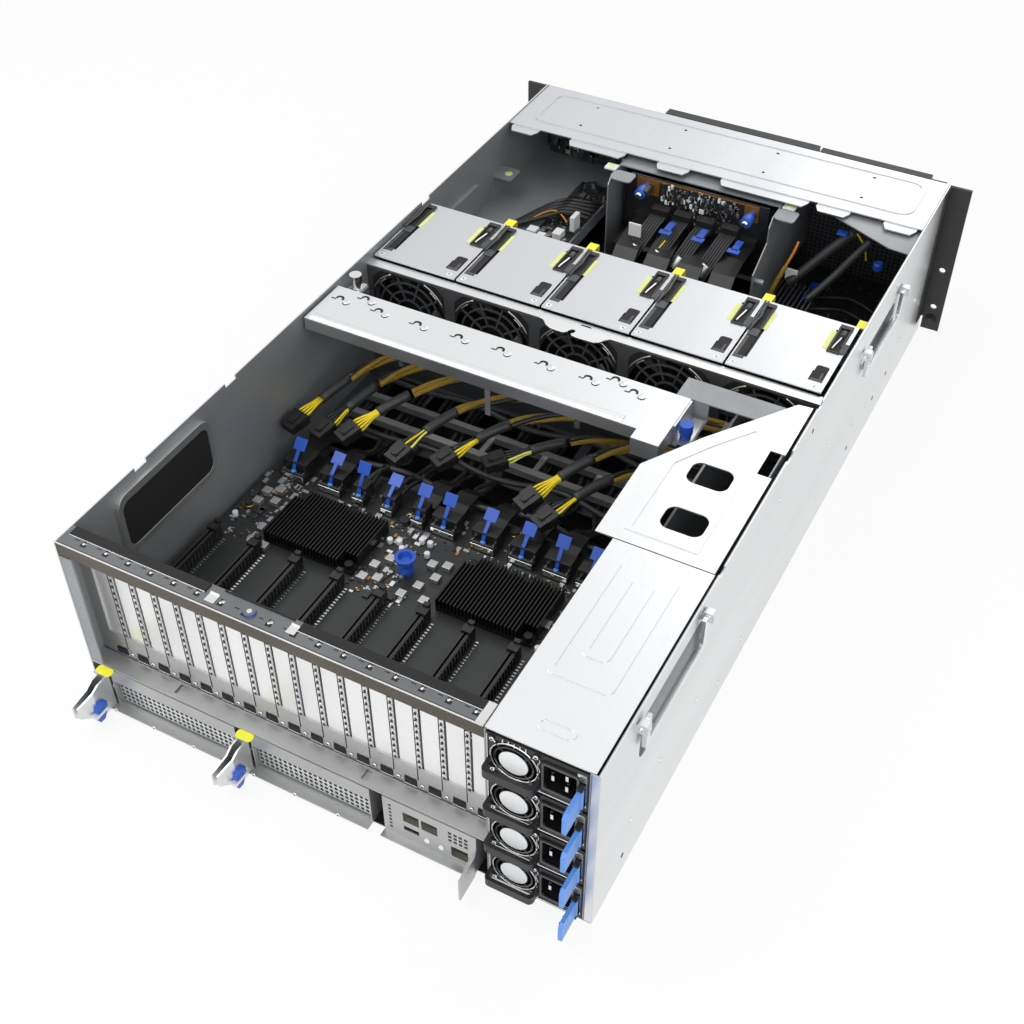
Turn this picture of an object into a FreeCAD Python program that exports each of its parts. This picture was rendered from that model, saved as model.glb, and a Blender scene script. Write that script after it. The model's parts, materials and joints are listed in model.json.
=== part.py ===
import FreeCAD, Part
import math
import os

Vector = FreeCAD.Vector
Rotation = FreeCAD.Rotation
ALONG_X = Vector(1, 0, 0)
ALONG_Y = Vector(0, 1, 0)
ALONG_Z = Vector(0, 0, 1)
ORIGIN = Vector(0, 0, 0)

# Four-unit rack server, sizes in millimetres.
# X runs to the right seen from the rear, Y from the rear to the front, Z up.
# The origin is on the underside, midway between the side walls.

# Chassis sheet metal
body_width = 440.0
body_height = 175.0
rear_y = -400.0
front_y = 388.0
wall = 1.5
skin = 1.2
clearance = 0.3
seat = 0.3

half_width = body_width / 2
inner_x = half_width - wall
cover_top = body_height
cover_rib = 0.8
plate_top = cover_top - cover_rib
plate_under = plate_top - skin

# Lower row, one rack unit high, under the tray
lower_row = 44.0
tray_top = lower_row + wall
ledge_y = rear_y - 1.0
tray_front_y = 21.5

# Rack ears
ear_width = 20.0
ear_thick = 3.0
ear_y = 386.0
ear_low = 9.0
ear_flange_length = 18.0
rack_pitch = 44.45
rack_hole_low = 36.7
rack_hole_radius = 3.3
ear_hole_x = half_width + 11.5
ear_screw_z = 20.8

# Lift handles
handle_length = 104.0
handle_drop = 28.0
handle_strap = 6.5
handle_thick = 3.0
handle_stand = 4.0
handle_pin_radius = 2.5
handle_pin_length = 5.0
running = 0.05
handle_rear_y = -287.5
handle_front_y = 186.0
handle_rear_z = body_height - 13.0
handle_front_z = body_height - 32.0
knuckle_size = 9.0
pocket_depth = 4.0
pocket_corner = 10.0
rear_pocket_y = -282.5
rear_pocket_length = 107.0
rear_pocket_height = 45.0
front_pocket_length = 88.0
front_pocket_height = 26.0

# Fan section
fan_count = 5
fan_pitch = 86.4
fan_first_x = -174.8
fan_module_width = 84.4
fan_module_rear = 31.5
fan_module_front = 132.0
fan_top_z = body_height - 7.0
fan_frame_size = 80.0
fan_frame_depth = 56.0
fan_frame_rear = 34.0
fan_centre_z = fan_top_z - 43.5
fan_bore = 38.0
fan_tip_gap = 1.0
fan_shelf_z = fan_top_z - 86.0
fan_hub_radius = 15.0
fan_hub_depth = 30.0
fan_stator_radius = 14.0
fan_stator_depth = 5.0
fan_strut_width = 3.0
fan_shaft_radius = 2.0
fan_shaft_length = 18.0
fan_blades = 7
fan_blade_thick = 1.6
fan_blade_chord = 26.0
fan_blade_pitch = 38.0
guard_thick = 1.5
guard_wire = 1.6
guard_spokes = 10
guard_rings = (13.0, 22.0, 31.0)
fan_wall_y = 20.0
fan_ledge_z = fan_top_z - 3.0

# Card bay: slots, board and support bar
slot_count = 17
slot_pitch = 20.32
slot_first_x = -207.0
slot_window_low = 70.0
slot_panel_y = -385.0
slot_cover_width = 18.4
slot_cover_foot = 50.0
slot_foot_width = 10.0
slot_flange = 11.0
vent_count = 13
vent_size = 2.8
vent_pitch = (body_height - slot_window_low - 22.2) / (vent_count - 1)
beam_depth = 20.0
beam_face = 12.0
board_top = 60.0
board_thick = 2.0
board_left = -212.0
board_right = 126.0
board_rear = -376.0
board_front = -128.0
card_slot_count = 8
card_slot_pitch = 2 * slot_pitch
card_slot_width = 7.5
card_slot_length = 89.0
card_slot_height = 11.5
card_slot_rear = -342.0
sink_length = 59.0
sink_width = 86.0
sink_height = 13.0
sink_base = 3.0
sink_fins = 27
sink_fin = 1.3
sink_rear = -240.0
bar_left = -216.0
bar_right = 100.0
bar_rear = -84.0
bar_front = -30.0
bar_top = body_height - 3.0
bar_skirt = 12.0
bar_end = bar_right + 24.0
bar_tongue_front = -2.0
bar_tab_rear = -66.0
bar_tab_end = bar_end + 13.5
bar_tab_z = bar_top - 19.7
screw_shank = 2.4
screw_play = 0.8
bar_screw_left = (bar_left + 6.0, bar_tongue_front - 9.0)
bar_screw_right = (bar_tab_end - 6.0, bar_tab_rear + 10.0)
hook_count = 9
hook_pitch = 36.0
hook_first = 14.0
hook_off_middle = 4.0
hook_hole_radius = 3.4
hook_slot_length = 9.0
hook_slot_half = 1.8
bar_end_reach = 12.0
bar_end_drop = 17.0
bar_tongue_width = 12.0
bar_post_left = -66.0
bar_post_width = 5.0
bar_post_drop = 54.0
bar_rib_start = 6.0
bar_rib_stop = 22.0
bar_rib_inset = 7.0
bar_rib_radius = 3.0
bar_rib_rise = 1.6
bar_rib_seat = 0.1
cutter_over = 1.0

# Power supply column
psu_count = 4
psu_width = 73.5
psu_stack_margin = 2.2
psu_row_gap = 3.2
psu_pitch = (body_height - psu_stack_margin) / psu_count
psu_height = psu_pitch - psu_row_gap
psu_length = 185.0
psu_left = 138.6
psu_side_gap = 0.5
cage_sheet = 1.2
psu_fan_radius = 17.5
psu_fan_x = 20.5
psu_screw_spread = 16.5
psu_screw_radius = 2.4
psu_guard_disc = 11.0
psu_guard_ring = 14.2
psu_guard_wire = 1.4
psu_handle_out = 12.0
psu_handle_bar = 3.0
psu_handle_low = 6.5
psu_handle_high = 8.0
psu_handle_wide = 39.0
inlet_left = 42.5
inlet_width = 23.5
inlet_height = 24.0
inlet_depth = 14.0
inlet_low = 9.0
inlet_rim = 2.5
latch_out = 27.0
latch_high = 19.2
latch_thick = 3.2
latch_pin_radius = 1.2
latch_barrel = 2.2
latch_x = 69.8
latch_low = 8.0
latch_stand = 3.8
latch_lug = 2.2
latch_lug_out = 6.2

cage_left = psu_left - psu_side_gap - cage_sheet
cage_right = psu_left + psu_width + psu_side_gap + cage_sheet
beam_right = cage_left - clearance
psu_cover_front = -206.0
landing_z = bar_top - 3.7
landing_gap = 3.0
landing_run = 14.0
landing_side = 2.0
duct_front = 2.0
power_board_x = 152.0
power_board_top = body_height - 35.0

# Lower-row modules
io_left_span = (-200.0, -80.0)
io_right_span = (-66.0, 40.0)
manage_span = (51.0, 129.0)
module_front = -250.0
module_sheet = 1.2
module_floor_out = 9.0
module_face_in = 3.0
module_band = 13.0
lever_pivot_in = 4.0
lever_pin_radius = 2.0
lever_barrel = 4.0
lever_out = 37.0
lever_plate = 1.5
button_radius = 2.2
button_travel = 1.0
button_places = (88.0, 100.0)
button_z = 13.0

# Front bay
bay_left = -84.0
bay_right = 84.0
bay_floor = body_height - 91.0
divider_low = bay_floor - 16.0
side_tray_z = bay_floor + 20.0
side_tray_step = 26.0
side_tray_rear = 182.0
side_tray_corner = 214.0
side_tray_right = -108.0
bay_rear = 222.0
backplane_y = 277.0
socket_low = bay_floor + 34.0
socket_high = 12.0
backplane_top = body_height - 9.0
carrier_count = 8
carrier_pitch = 20.3
carrier_height = 73.0
carrier_body = 15.0
bezel_out = 11.0
front_cover_rear = 297.0
tongue_length = 12.0


def block(x0, x1, y0, y1, z0, z1):
    """Rectangular solid between two corners."""
    return Part.makeBox(x1 - x0, y1 - y0, z1 - z0, Vector(x0, y0, z0))


def rod(radius, length, base, axis=ALONG_Z):
    """Round bar from its base point along an axis."""
    return Part.makeCylinder(radius, length, base, axis)


def ring(outer, inner, length, base, axis=ALONG_Z):
    """Flat ring or short tube."""
    return rod(outer, length, base, axis).cut(rod(inner, length, base, axis))


def joined(shapes):
    """Fuse touching shapes into one solid with clean faces."""
    first = shapes[0]
    if len(shapes) > 1:
        first = first.multiFuse(shapes[1:])
    return first.removeSplitter()


def less(shape, tools):
    """Cut a list of tools from a shape."""
    return shape.cut(Part.makeCompound(tools)) if tools else shape


def prism(points, push):
    """Straight prism on a closed outline of points."""
    outline = Part.makePolygon(list(points) + [points[0]])
    return Part.Face(outline).extrude(push)


def plan(points, z0, z1):
    """Prism on an outline in plan view, from z0 up to z1."""
    return prism([Vector(x, y, z0) for x, y in points], Vector(0, 0, z1 - z0))


def side_view(points, x0, x1):
    """Prism on an outline seen from the side, from x0 to x1."""
    return prism([Vector(x0, y, z) for y, z in points], Vector(x1 - x0, 0, 0))


def rear_view(points, y0, y1):
    """Prism on an outline seen from the rear, from y0 to y1."""
    return prism([Vector(x, y0, z) for x, z in points], Vector(0, y1 - y0, 0))


def rounded(solid, radius, axis):
    """Round the edges of a solid that run along an axis."""
    edges = []
    for edge in solid.Edges:
        if len(edge.Vertexes) != 2:
            continue
        run = edge.Vertexes[1].Point.sub(edge.Vertexes[0].Point)
        if run.Length > 1e-6 and abs(run.normalize().dot(axis)) > 0.999:
            edges.append(edge)
    return solid.makeFillet(radius, edges)


def moved(shape, x=0.0, y=0.0, z=0.0):
    """Copy of a shape at a new place."""
    copy = shape.copy()
    copy.translate(Vector(x, y, z))
    return copy


def mirrored_x(shape):
    """Mirror image of a shape across the middle plane."""
    return shape.mirror(ORIGIN, ALONG_X)


def save(name, shapes):
    """Write one sub-part as a STEP file of separate solids."""
    solids = []
    for shape in shapes:
        solids.extend(shape.Solids)
    Part.makeCompound(solids).exportStep("parts/" + name + ".step")


# Chassis


def base_pan():
    """Floor pan, with the partitions between the lower-row modules standing on it."""
    floor = block(-inner_x, inner_x, rear_y, front_y, 0, wall)
    gaps = ((io_left_span[1] + io_right_span[0]) / 2, (io_right_span[1] + manage_span[0]) / 2)
    partitions = []
    for x in gaps:
        plate = block(x - skin / 2, x + skin / 2, rear_y + 30, module_front - 10, wall, lower_row)
        partitions.append(plate)
    return [floor] + partitions


def handle_knuckles(y_mid, z_pivot):
    """The two blocks on the right wall that hold one handle's pins, bored for them."""
    reach = handle_length / 2 + clearance
    x1 = half_width + handle_stand + knuckle_size / 2
    knuckles = []
    for side in (-1, 1):
        y0 = y_mid + side * reach
        y1 = y_mid + side * (reach + handle_pin_length + 1.0)
        low, high = min(y0, y1), max(y0, y1)
        body = block(half_width, x1, low, high, z_pivot - knuckle_size / 2, z_pivot + knuckle_size / 2)
        body = rounded(body, 2.0, ALONG_Y)
        bore = rod(handle_pin_radius + running, high - low + 2, Vector(half_width + handle_stand, low - 1, z_pivot),
                   ALONG_Y)
        knuckles.append(body.cut(bore))
    return knuckles


def finger_pocket(y_mid, length, height, z_pivot):
    """Opening behind a handle and the shallow dish pressed into the wall there."""
    z1 = z_pivot - handle_strap / 2 - 1.0
    z0 = z1 - height
    y0 = y_mid - length / 2
    y1 = y_mid + length / 2
    opening = rounded(block(inner_x - 1, half_width + 1, y0, y1, z0, z1), pocket_corner, ALONG_X)
    outer = rounded(block(inner_x - pocket_depth, inner_x, y0 - skin, y1 + skin, z0 - skin, z1 + skin),
                    pocket_corner + skin, ALONG_X)
    hollow = rounded(block(inner_x - pocket_depth + skin, inner_x + 1, y0, y1, z0, z1), pocket_corner, ALONG_X)
    return opening, outer.cut(hollow)


def side_wall(notches, returns):
    """Right-hand side wall: notched plate with finger openings, rear returns, dishes and knuckles."""
    plate = block(inner_x, half_width, rear_y, front_y, 0, body_height)
    tools = []
    fittings = []
    for depth, z0, z1 in returns:
        fittings.append(block(inner_x - depth, inner_x, rear_y, rear_y + wall, z0, z1))
    pockets = ((rear_pocket_y, rear_pocket_length, rear_pocket_height, handle_rear_z),
               (handle_front_y, front_pocket_length, front_pocket_height, handle_front_z))
    for pocket in pockets:
        opening, dish = finger_pocket(*pocket)
        tools.append(opening)
        fittings.append(dish)
    for y_mid, z_pivot in ((handle_rear_y, handle_rear_z), (handle_front_y, handle_front_z)):
        fittings.extend(handle_knuckles(y_mid, z_pivot))
    for y_mid, length, depth in notches:
        tools.append(block(inner_x - 1, half_width + 1, y_mid - length / 2, y_mid + length / 2,
                           body_height - depth, body_height + 1))
    return [less(plate, tools)] + fittings


def bar_shelf():
    """Shelf on the left wall under the bar's tongue, open to the front round the captive screw."""
    z1 = bar_top - bar_skirt - wall
    z0 = z1 - wall
    y0, y1 = bar_front + 4, bar_tongue_front
    x, y = bar_screw_left
    slot = screw_shank + screw_play
    gusset = side_view([(y0, z0), (y1, z0), (y1, z1 - 24)], -inner_x, -inner_x + wall)
    return [block(-inner_x, x - slot, y0, y1, z0, z1), block(x + slot, bar_left + 13, y0, y1, z0, z1),
            block(x - slot, x + slot, y0, y - slot, z0, z1), gusset]


def lift_handle():
    """Hanging bail of flat strap with two round pins, its pivot line on the local Y axis."""
    half = handle_length / 2
    low = -handle_drop
    high = handle_strap / 2
    outer = rounded(block(-handle_thick / 2, handle_thick / 2, -half, half, low, high), handle_strap / 2 - 0.1,
                    ALONG_X)
    window = rounded(block(-handle_thick, handle_thick, -half + handle_strap, half - handle_strap,
                           low + handle_strap, high + 1), 2.5, ALONG_X)
    pins = [rod(handle_pin_radius, handle_pin_length, Vector(0, half - 0.5, 0), ALONG_Y),
            rod(handle_pin_radius, handle_pin_length, Vector(0, -half + 0.5 - handle_pin_length, 0), ALONG_Y)]
    grip = rounded(block(-handle_thick / 2 - 1.4, handle_thick / 2, -half + 12, half - 12, low, low + handle_strap),
                   1.2, ALONG_Y)
    return joined([outer.cut(window), grip] + pins)


def right_ear():
    """Black rack ear: face plate with rack holes and a flange outside the wall."""
    outer_x = half_width + wall + ear_width
    plate = block(half_width, outer_x, ear_y - ear_thick, ear_y, ear_low, body_height)
    plate = less(plate, [block(half_width - 1, half_width + 3.2, ear_y - 5, ear_y + 1, ear_low - 1, ear_low + 14)])
    flange = block(half_width, half_width + wall, ear_y - ear_flange_length, ear_y - ear_thick,
                   ear_low + 14, body_height)
    tools = []
    for z in (rack_hole_low, rack_hole_low + rack_pitch):
        tools.append(rod(rack_hole_radius, ear_thick + 2, Vector(ear_hole_x, ear_y - ear_thick - 1, z), ALONG_Y))
    ear = less(joined([plate, flange]), tools)
    screw = joined([rod(4.2, 4.0, Vector(ear_hole_x, ear_y - ear_thick - 4.0, ear_screw_z), ALONG_Y),
                    rod(6.0, 2.0, Vector(ear_hole_x, ear_y - ear_thick - 2.0, ear_screw_z), ALONG_Y)])
    knob = rod(5.5, 6.0, Vector(ear_hole_x, ear_y, ear_screw_z), ALONG_Y)
    return [ear, screw, knob]


def front_top_cover():
    """Fixed cover over the front bay, with a raised rim and six rear tongues."""
    x1 = inner_x - clearance
    plate = block(-x1, x1, front_cover_rear, front_y, plate_under, plate_top)
    margin = 16.0
    width = 5.0
    outer = rounded(block(-x1 + margin, x1 - margin, front_cover_rear + margin, front_y - 9, plate_top, cover_top),
                    14.0, ALONG_Z)
    inner = rounded(block(-x1 + margin + width, x1 - margin - width, front_cover_rear + margin + width,
                          front_y - 9 - width, plate_top, cover_top), 10.0, ALONG_Z)
    tongues = []
    edge = inner_x - 5.0
    spans = ((-edge, -183), (-147, -85), (-50, -16), (18, 108), (116, 149), (182, edge))
    for (low, high) in spans:
        outline = [(low, front_cover_rear + 8), (low, front_cover_rear - 4), (low + 4, front_cover_rear - tongue_length),
                   (high - 4, front_cover_rear - tongue_length), (high, front_cover_rear - 4),
                   (high, front_cover_rear + 8)]
        tongues.append(plan(outline, plate_under - skin, plate_under))
    holes = []
    for x in (-150, -50, 50, 150):
        for y in (front_cover_rear + 28, front_y - 22):
            holes.append(rod(1.6, skin + 2, Vector(x, y, plate_under - 1)))
    cover = less(joined([plate, outer.cut(inner)]), holes)
    return [joined([cover] + tongues)]


def mesh_holes(x0, x1, z0, z1, size, pitch, y0, y1):
    """Grid of square holes that fills a window, centred in it."""
    columns = int((x1 - x0 - size) // pitch) + 1
    rows = int((z1 - z0 - size) // pitch) + 1
    x_start = (x0 + x1 - (columns - 1) * pitch) / 2
    z_start = (z0 + z1 - (rows - 1) * pitch) / 2
    holes = []
    for column in range(columns):
        for row in range(rows):
            x = x_start + column * pitch
            z = z_start + row * pitch
            holes.append(block(x - size / 2, x + size / 2, y0, y1, z - size / 2, z + size / 2))
    return holes


def front_panel():
    """Front wall with mesh fields and the drive bay, and the black bezels on it."""
    y0 = front_y
    y1 = front_y + wall
    panel = block(-half_width, half_width, y0, y1, 0, body_height - 3)
    z0 = bay_floor + 4
    z1 = backplane_top
    tools = [block(bay_left + 2, bay_right - 2, y0 - 1, y1 + 1, bay_floor, z1)]
    for x0, x1 in ((-half_width + 12, bay_left - 8), (bay_right + 8, half_width - 12)):
        tools.extend(mesh_holes(x0, x1, z0, z1, 9.0, 12.0, y0 - 1, y1 + 1))
    tools.extend(mesh_holes(-half_width + 12, half_width - 12, 12, bay_floor - 8, 12.0, 15.5, y0 - 1, y1 + 1))
    panel = less(panel, tools)
    out = y1 + bezel_out
    top = body_height - 1
    drive_bezel = block(bay_left + 1, bay_right - 1, y1, out, z0 - 6, top)
    drive_bezel = drive_bezel.cut(block(bay_left + 2, bay_right - 2, y1 - 1, out + 1, bay_floor, z1 + 1))
    mesh_bezel = block(bay_right + 2, half_width - 21, y1, out - 2, z0 - 6, top)
    mesh_bezel = mesh_bezel.cut(block(bay_right + 7, half_width - 26, y1 - 1, out, z0 - 1, z1 + 1))
    corner = block(half_width - 20, half_width - 5, y1, y1 + 3, z0 - 6, top - 1)
    return [panel, drive_bezel, mesh_bezel, corner]


# Front bay


def drive_cage():
    """Two dividers, the plate between them, the floor and the corner baffle."""
    top = fan_top_z
    divider_rear = bay_rear + 32
    left_face = [(divider_rear, divider_low), (front_y, divider_low), (front_y, top), (divider_rear + 8, top),
                 (divider_rear, top - 8)]
    left = side_view(left_face, bay_left - skin, bay_left)
    right_face = [(bay_rear, divider_low), (front_y, divider_low), (front_y, top), (divider_rear + 8, top),
                  (divider_rear, top - 8), (divider_rear, top - 24), (bay_rear, top - 42)]
    right = side_view(right_face, bay_right, bay_right + skin)
    plate = block(bay_left, bay_right, backplane_y + 6, front_y, top - skin, top)
    floor = block(bay_left, bay_right, backplane_y - 6, front_y, bay_floor, bay_floor + skin)
    pads = [rounded(block(bay_left, bay_left + 22, backplane_y - 22, backplane_y - 4, top - skin, top), 4, ALONG_Z),
            rounded(block(bay_right + skin, bay_right + skin + 20, backplane_y - 16, backplane_y + 4, top - skin, top),
                    4, ALONG_Z)]
    studs = []
    for z in (divider_low + 14, top - 52):
        studs.append(rod(3.2, 9.0, Vector(bay_right + skin, bay_rear + 7, z), ALONG_X))
    baffle = plan([(138, 288), (198, 260), (inner_x, 258), (inner_x, front_y), (138, front_y)], top + 0.6,
                  top + 0.6 + skin)
    tray_outline = [(-inner_x, side_tray_rear), (side_tray_right - 26, side_tray_rear),
                    (side_tray_right, side_tray_corner), (side_tray_right, front_y), (-inner_x, front_y)]
    side_tray = plan(tray_outline, side_tray_z, side_tray_z + skin)
    tray_hem = block(side_tray_right - skin, side_tray_right, side_tray_corner, front_y, side_tray_z - 12, side_tray_z)
    step_z = side_tray_z + side_tray_step
    bracket = [rounded(block(-inner_x, -inner_x + 22, 258, 282, step_z, step_z + skin), 4.0, ALONG_Z),
               block(-inner_x, -inner_x + skin, 258, 282, side_tray_z + skin, step_z)]
    return [left, right, plate, floor] + pads + studs + [baffle, side_tray, tray_hem] + bracket


def drive_backplane():
    """Circuit board behind the drives, with cable sockets and two thumbscrews."""
    x0, x1 = bay_left + 14, bay_right - 8
    z0 = bay_floor + skin
    board = block(x0, x1, backplane_y, backplane_y + 1.6, z0, backplane_top)
    parts = [board]
    for step in range(4):
        x = x0 + 24 + step * 34
        parts.append(block(x - 13, x + 13, backplane_y - 10, backplane_y, socket_low, socket_low + socket_high))
    for x in (x0 + 22, x1 - 16):
        shank = rod(2.6, 7.0, Vector(x, backplane_y - 7, backplane_top - 9), ALONG_Y)
        head = rod(5.0, 12.0, Vector(x, backplane_y - 19, backplane_top - 9), ALONG_Y)
        parts.append(joined([shank, head]))
    for step in range(carrier_count):
        x = carrier_x(step)
        parts.append(block(x - 2.5, x + 2.5, backplane_y + 1.6, backplane_y + 7.6, bay_floor + 26, bay_floor + 56))
    return parts


def carrier_x(step):
    """Middle of one drive carrier."""
    return (step - (carrier_count - 1) / 2) * carrier_pitch


def drive_carriers():
    """Eight upright drives on their carriers, seated in the backplane."""
    carriers = []
    z0 = bay_floor + skin + seat
    for step in range(carrier_count):
        x = carrier_x(step)
        drive = block(x - carrier_body / 2, x + carrier_body / 2, backplane_y + 7.6, front_y + 2, z0, z0 + carrier_height)
        front = rounded(block(x - carrier_pitch / 2 + 0.4, x + carrier_pitch / 2 - 0.4, front_y + 2,
                              front_y + wall + bezel_out - 1, z0 + 4, z0 + carrier_height), 1.5, ALONG_Y)
        grille = []
        for row in range(5):
            z = z0 + 30 + row * 8
            grille.append(block(x - 5, x + 5, front_y + 8, front_y + wall + bezel_out, z, z + 4))
        carriers.append(joined([drive, less(front, grille)]))
    return carriers


def motherboard():
    """Main board on the pan with memory modules, connectors and support posts."""
    z0 = wall + 6
    x0, x1 = -200.0, 205.0
    board = block(x0, x1, 140, 372, z0, z0 + 2)
    parts = [board]
    for x in (x0 + 8, 0, x1 - 8):
        for y in (150, 362):
            parts.append(rod(3, z0 - wall, Vector(x, y, wall)))
    for group in (-150, -60, 40, 130):
        for step in range(6):
            x = group + step * 7.8
            parts.append(block(x, x + 3.2, 200, 333, z0 + 2, z0 + 33))
    for x in (-190, -110, 20, 100, 170):
        parts.append(block(x, x + 26, 148, 160, z0 + 2, z0 + 16))
    return parts


def heat_sink(x0, x1, y0, y1, z0, base, height, fins, fin):
    """Extruded heatsink: a base with equal fins that run along Y."""
    pitch = (x1 - x0 - fin) / (fins - 1)
    outline = [(x0, z0), (x0, z0 + height)]
    for step in range(fins):
        left = x0 + step * pitch
        if step:
            outline.append((left, z0 + base))
            outline.append((left, z0 + height))
        outline.append((left + fin, z0 + height))
        if step < fins - 1:
            outline.append((left + fin, z0 + base))
    outline.append((x1, z0))
    return rear_view(outline, y0, y1)


def cpu_heatsinks():
    """Two finned processor heatsinks standing on the main board."""
    z0 = wall + 8
    sinks = []
    for x in (-103.0, 87.0):
        sinks.append(heat_sink(x, x + 40, 215, 320, z0, 6, divider_low - 4.5 - z0, 9, 1.4))
    return sinks


# Fan section


def fan_x(step):
    """Middle of one fan module."""
    return fan_first_x + step * fan_pitch


def fan_guard(x, y0, y1):
    """Ring-and-spoke guard for one fan opening."""
    bars = []
    centre = Vector(x, y0, fan_centre_z)
    for radius in guard_rings:
        bars.append(ring(radius + guard_wire / 2, radius - guard_wire / 2, y1 - y0, centre, ALONG_Y))
    inner = guard_rings[0]
    for step in range(guard_spokes):
        spoke = block(x + inner, x + fan_bore + 1, y0, y1, fan_centre_z - guard_wire / 2, fan_centre_z + guard_wire / 2)
        spoke.rotate(centre, ALONG_Y, step * 360.0 / guard_spokes)
        bars.append(spoke)
    return bars


def fan_wall():
    """Bulkhead with five guarded openings, a top ledge, a fan shelf and its legs."""
    y0 = fan_wall_y
    y1 = fan_wall_y + wall
    plate = block(-inner_x, inner_x, y0, y1, tray_top, fan_ledge_z)
    openings = []
    guards = []
    for step in range(fan_count):
        x = fan_x(step)
        openings.append(rod(fan_bore, wall + 2, Vector(x, y0 - 1, fan_centre_z), ALONG_Y))
        guards.extend(fan_guard(x, y0, y0 + guard_thick))
    ledge = block(-inner_x, inner_x, y1, fan_module_rear - 1.0, fan_ledge_z - wall, fan_ledge_z)
    notch = plan([(-16, y0 - 1), (-10, y0 + 6), (-6, y0 + 3), (-2, y0 + 8), (6, y0 + 8), (12, y0 - 1)],
                 fan_ledge_z - 10, fan_ledge_z + 1)
    shelf = block(-inner_x, inner_x, y1, fan_module_front + 1.5, fan_shelf_z, fan_shelf_z + wall)
    front_leg = block(-inner_x, inner_x, fan_module_front + 1.5 - wall, fan_module_front + 1.5, wall, fan_shelf_z)
    windows = mesh_holes(-inner_x + 20, inner_x - 20, 14, fan_shelf_z - 6, 44.0, 52.0, fan_module_front - 2,
                         fan_module_front + 3)
    return [joined([less(plate, openings)] + guards), ledge.cut(notch), shelf, less(front_leg, windows)]


def fan_module(x):
    """Lift-out fan module: top plate with finger cut-outs, frame, spider, post and plug."""
    half = fan_module_width / 2
    y0, y1 = fan_module_rear, fan_module_front
    top = block(x - half, x + half, y0, y1, fan_top_z - skin, fan_top_z)
    cuts = [block(x + half - 17, x + half - 5, y1 - 34, y1 - 12, fan_top_z - skin - 1, fan_top_z + 1),
            block(x + half - 16, x + half - 4, y0 + 12, y0 + 26, fan_top_z - skin - 1, fan_top_z + 1),
            block(x - half + 3, x - half + 13, y0 + 16, y0 + 70, fan_top_z - skin - 1, fan_top_z + 1)]
    top = less(top, cuts)
    size = fan_frame_size / 2
    z0 = fan_shelf_z + wall + seat
    z1 = fan_top_z - skin
    f0 = fan_frame_rear
    f1 = fan_frame_rear + fan_frame_depth
    frame = block(x - size, x + size, f0, f1, z0, z1)
    frame = frame.cut(rod(fan_bore, fan_frame_depth + 2, Vector(x, f0 - 1, fan_centre_z), ALONG_Y))
    centre = Vector(x, f0, fan_centre_z)
    struts = []
    for angle in (45, 135, 225, 315):
        bar = block(x + fan_stator_radius - 2, x + fan_bore + 1, f0, f0 + fan_stator_depth - 1,
                    fan_centre_z - fan_strut_width / 2, fan_centre_z + fan_strut_width / 2)
        bar.rotate(centre, ALONG_Y, angle)
        struts.append(bar)
    stator = rod(fan_stator_radius, fan_stator_depth, centre, ALONG_Y)
    shaft = rod(fan_shaft_radius, fan_shaft_length, Vector(x, f0 + fan_stator_depth, fan_centre_z), ALONG_Y)
    plug = block(x + 10, x + 34, f1, y1 - 6, z0, z0 + 14)
    bridge = block(x - size, x - size + 2, f1, y1, z0 + 20, z1)
    return [joined([top, frame, stator, shaft, plug, bridge] + struts)]


def fan_rotor(x):
    """Impeller: hub with a shaft bore and seven pitched blades."""
    y0 = fan_frame_rear + fan_stator_depth + clearance
    base = Vector(x, y0, fan_centre_z)
    hub = rod(fan_hub_radius, fan_hub_depth, base, ALONG_Y)
    blades = []
    for step in range(fan_blades):
        blade = block(x + fan_hub_radius - 2, x + fan_bore + 4, y0 + fan_hub_depth / 2 - fan_blade_thick / 2,
                      y0 + fan_hub_depth / 2 + fan_blade_thick / 2, fan_centre_z - fan_blade_chord / 2,
                      fan_centre_z + fan_blade_chord / 2)
        blade.rotate(Vector(x, y0 + fan_hub_depth / 2, fan_centre_z), ALONG_X, fan_blade_pitch)
        blade.rotate(base, ALONG_Y, step * 360.0 / fan_blades)
        blades.append(blade)
    sweep = rod(fan_bore - fan_tip_gap, fan_hub_depth, base, ALONG_Y)
    wheel = joined([hub] + [blade.common(sweep) for blade in blades])
    bore = rod(fan_shaft_radius + running, fan_shaft_length + clearance, base, ALONG_Y)
    return [wheel.cut(bore)]


# Card bay


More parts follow.
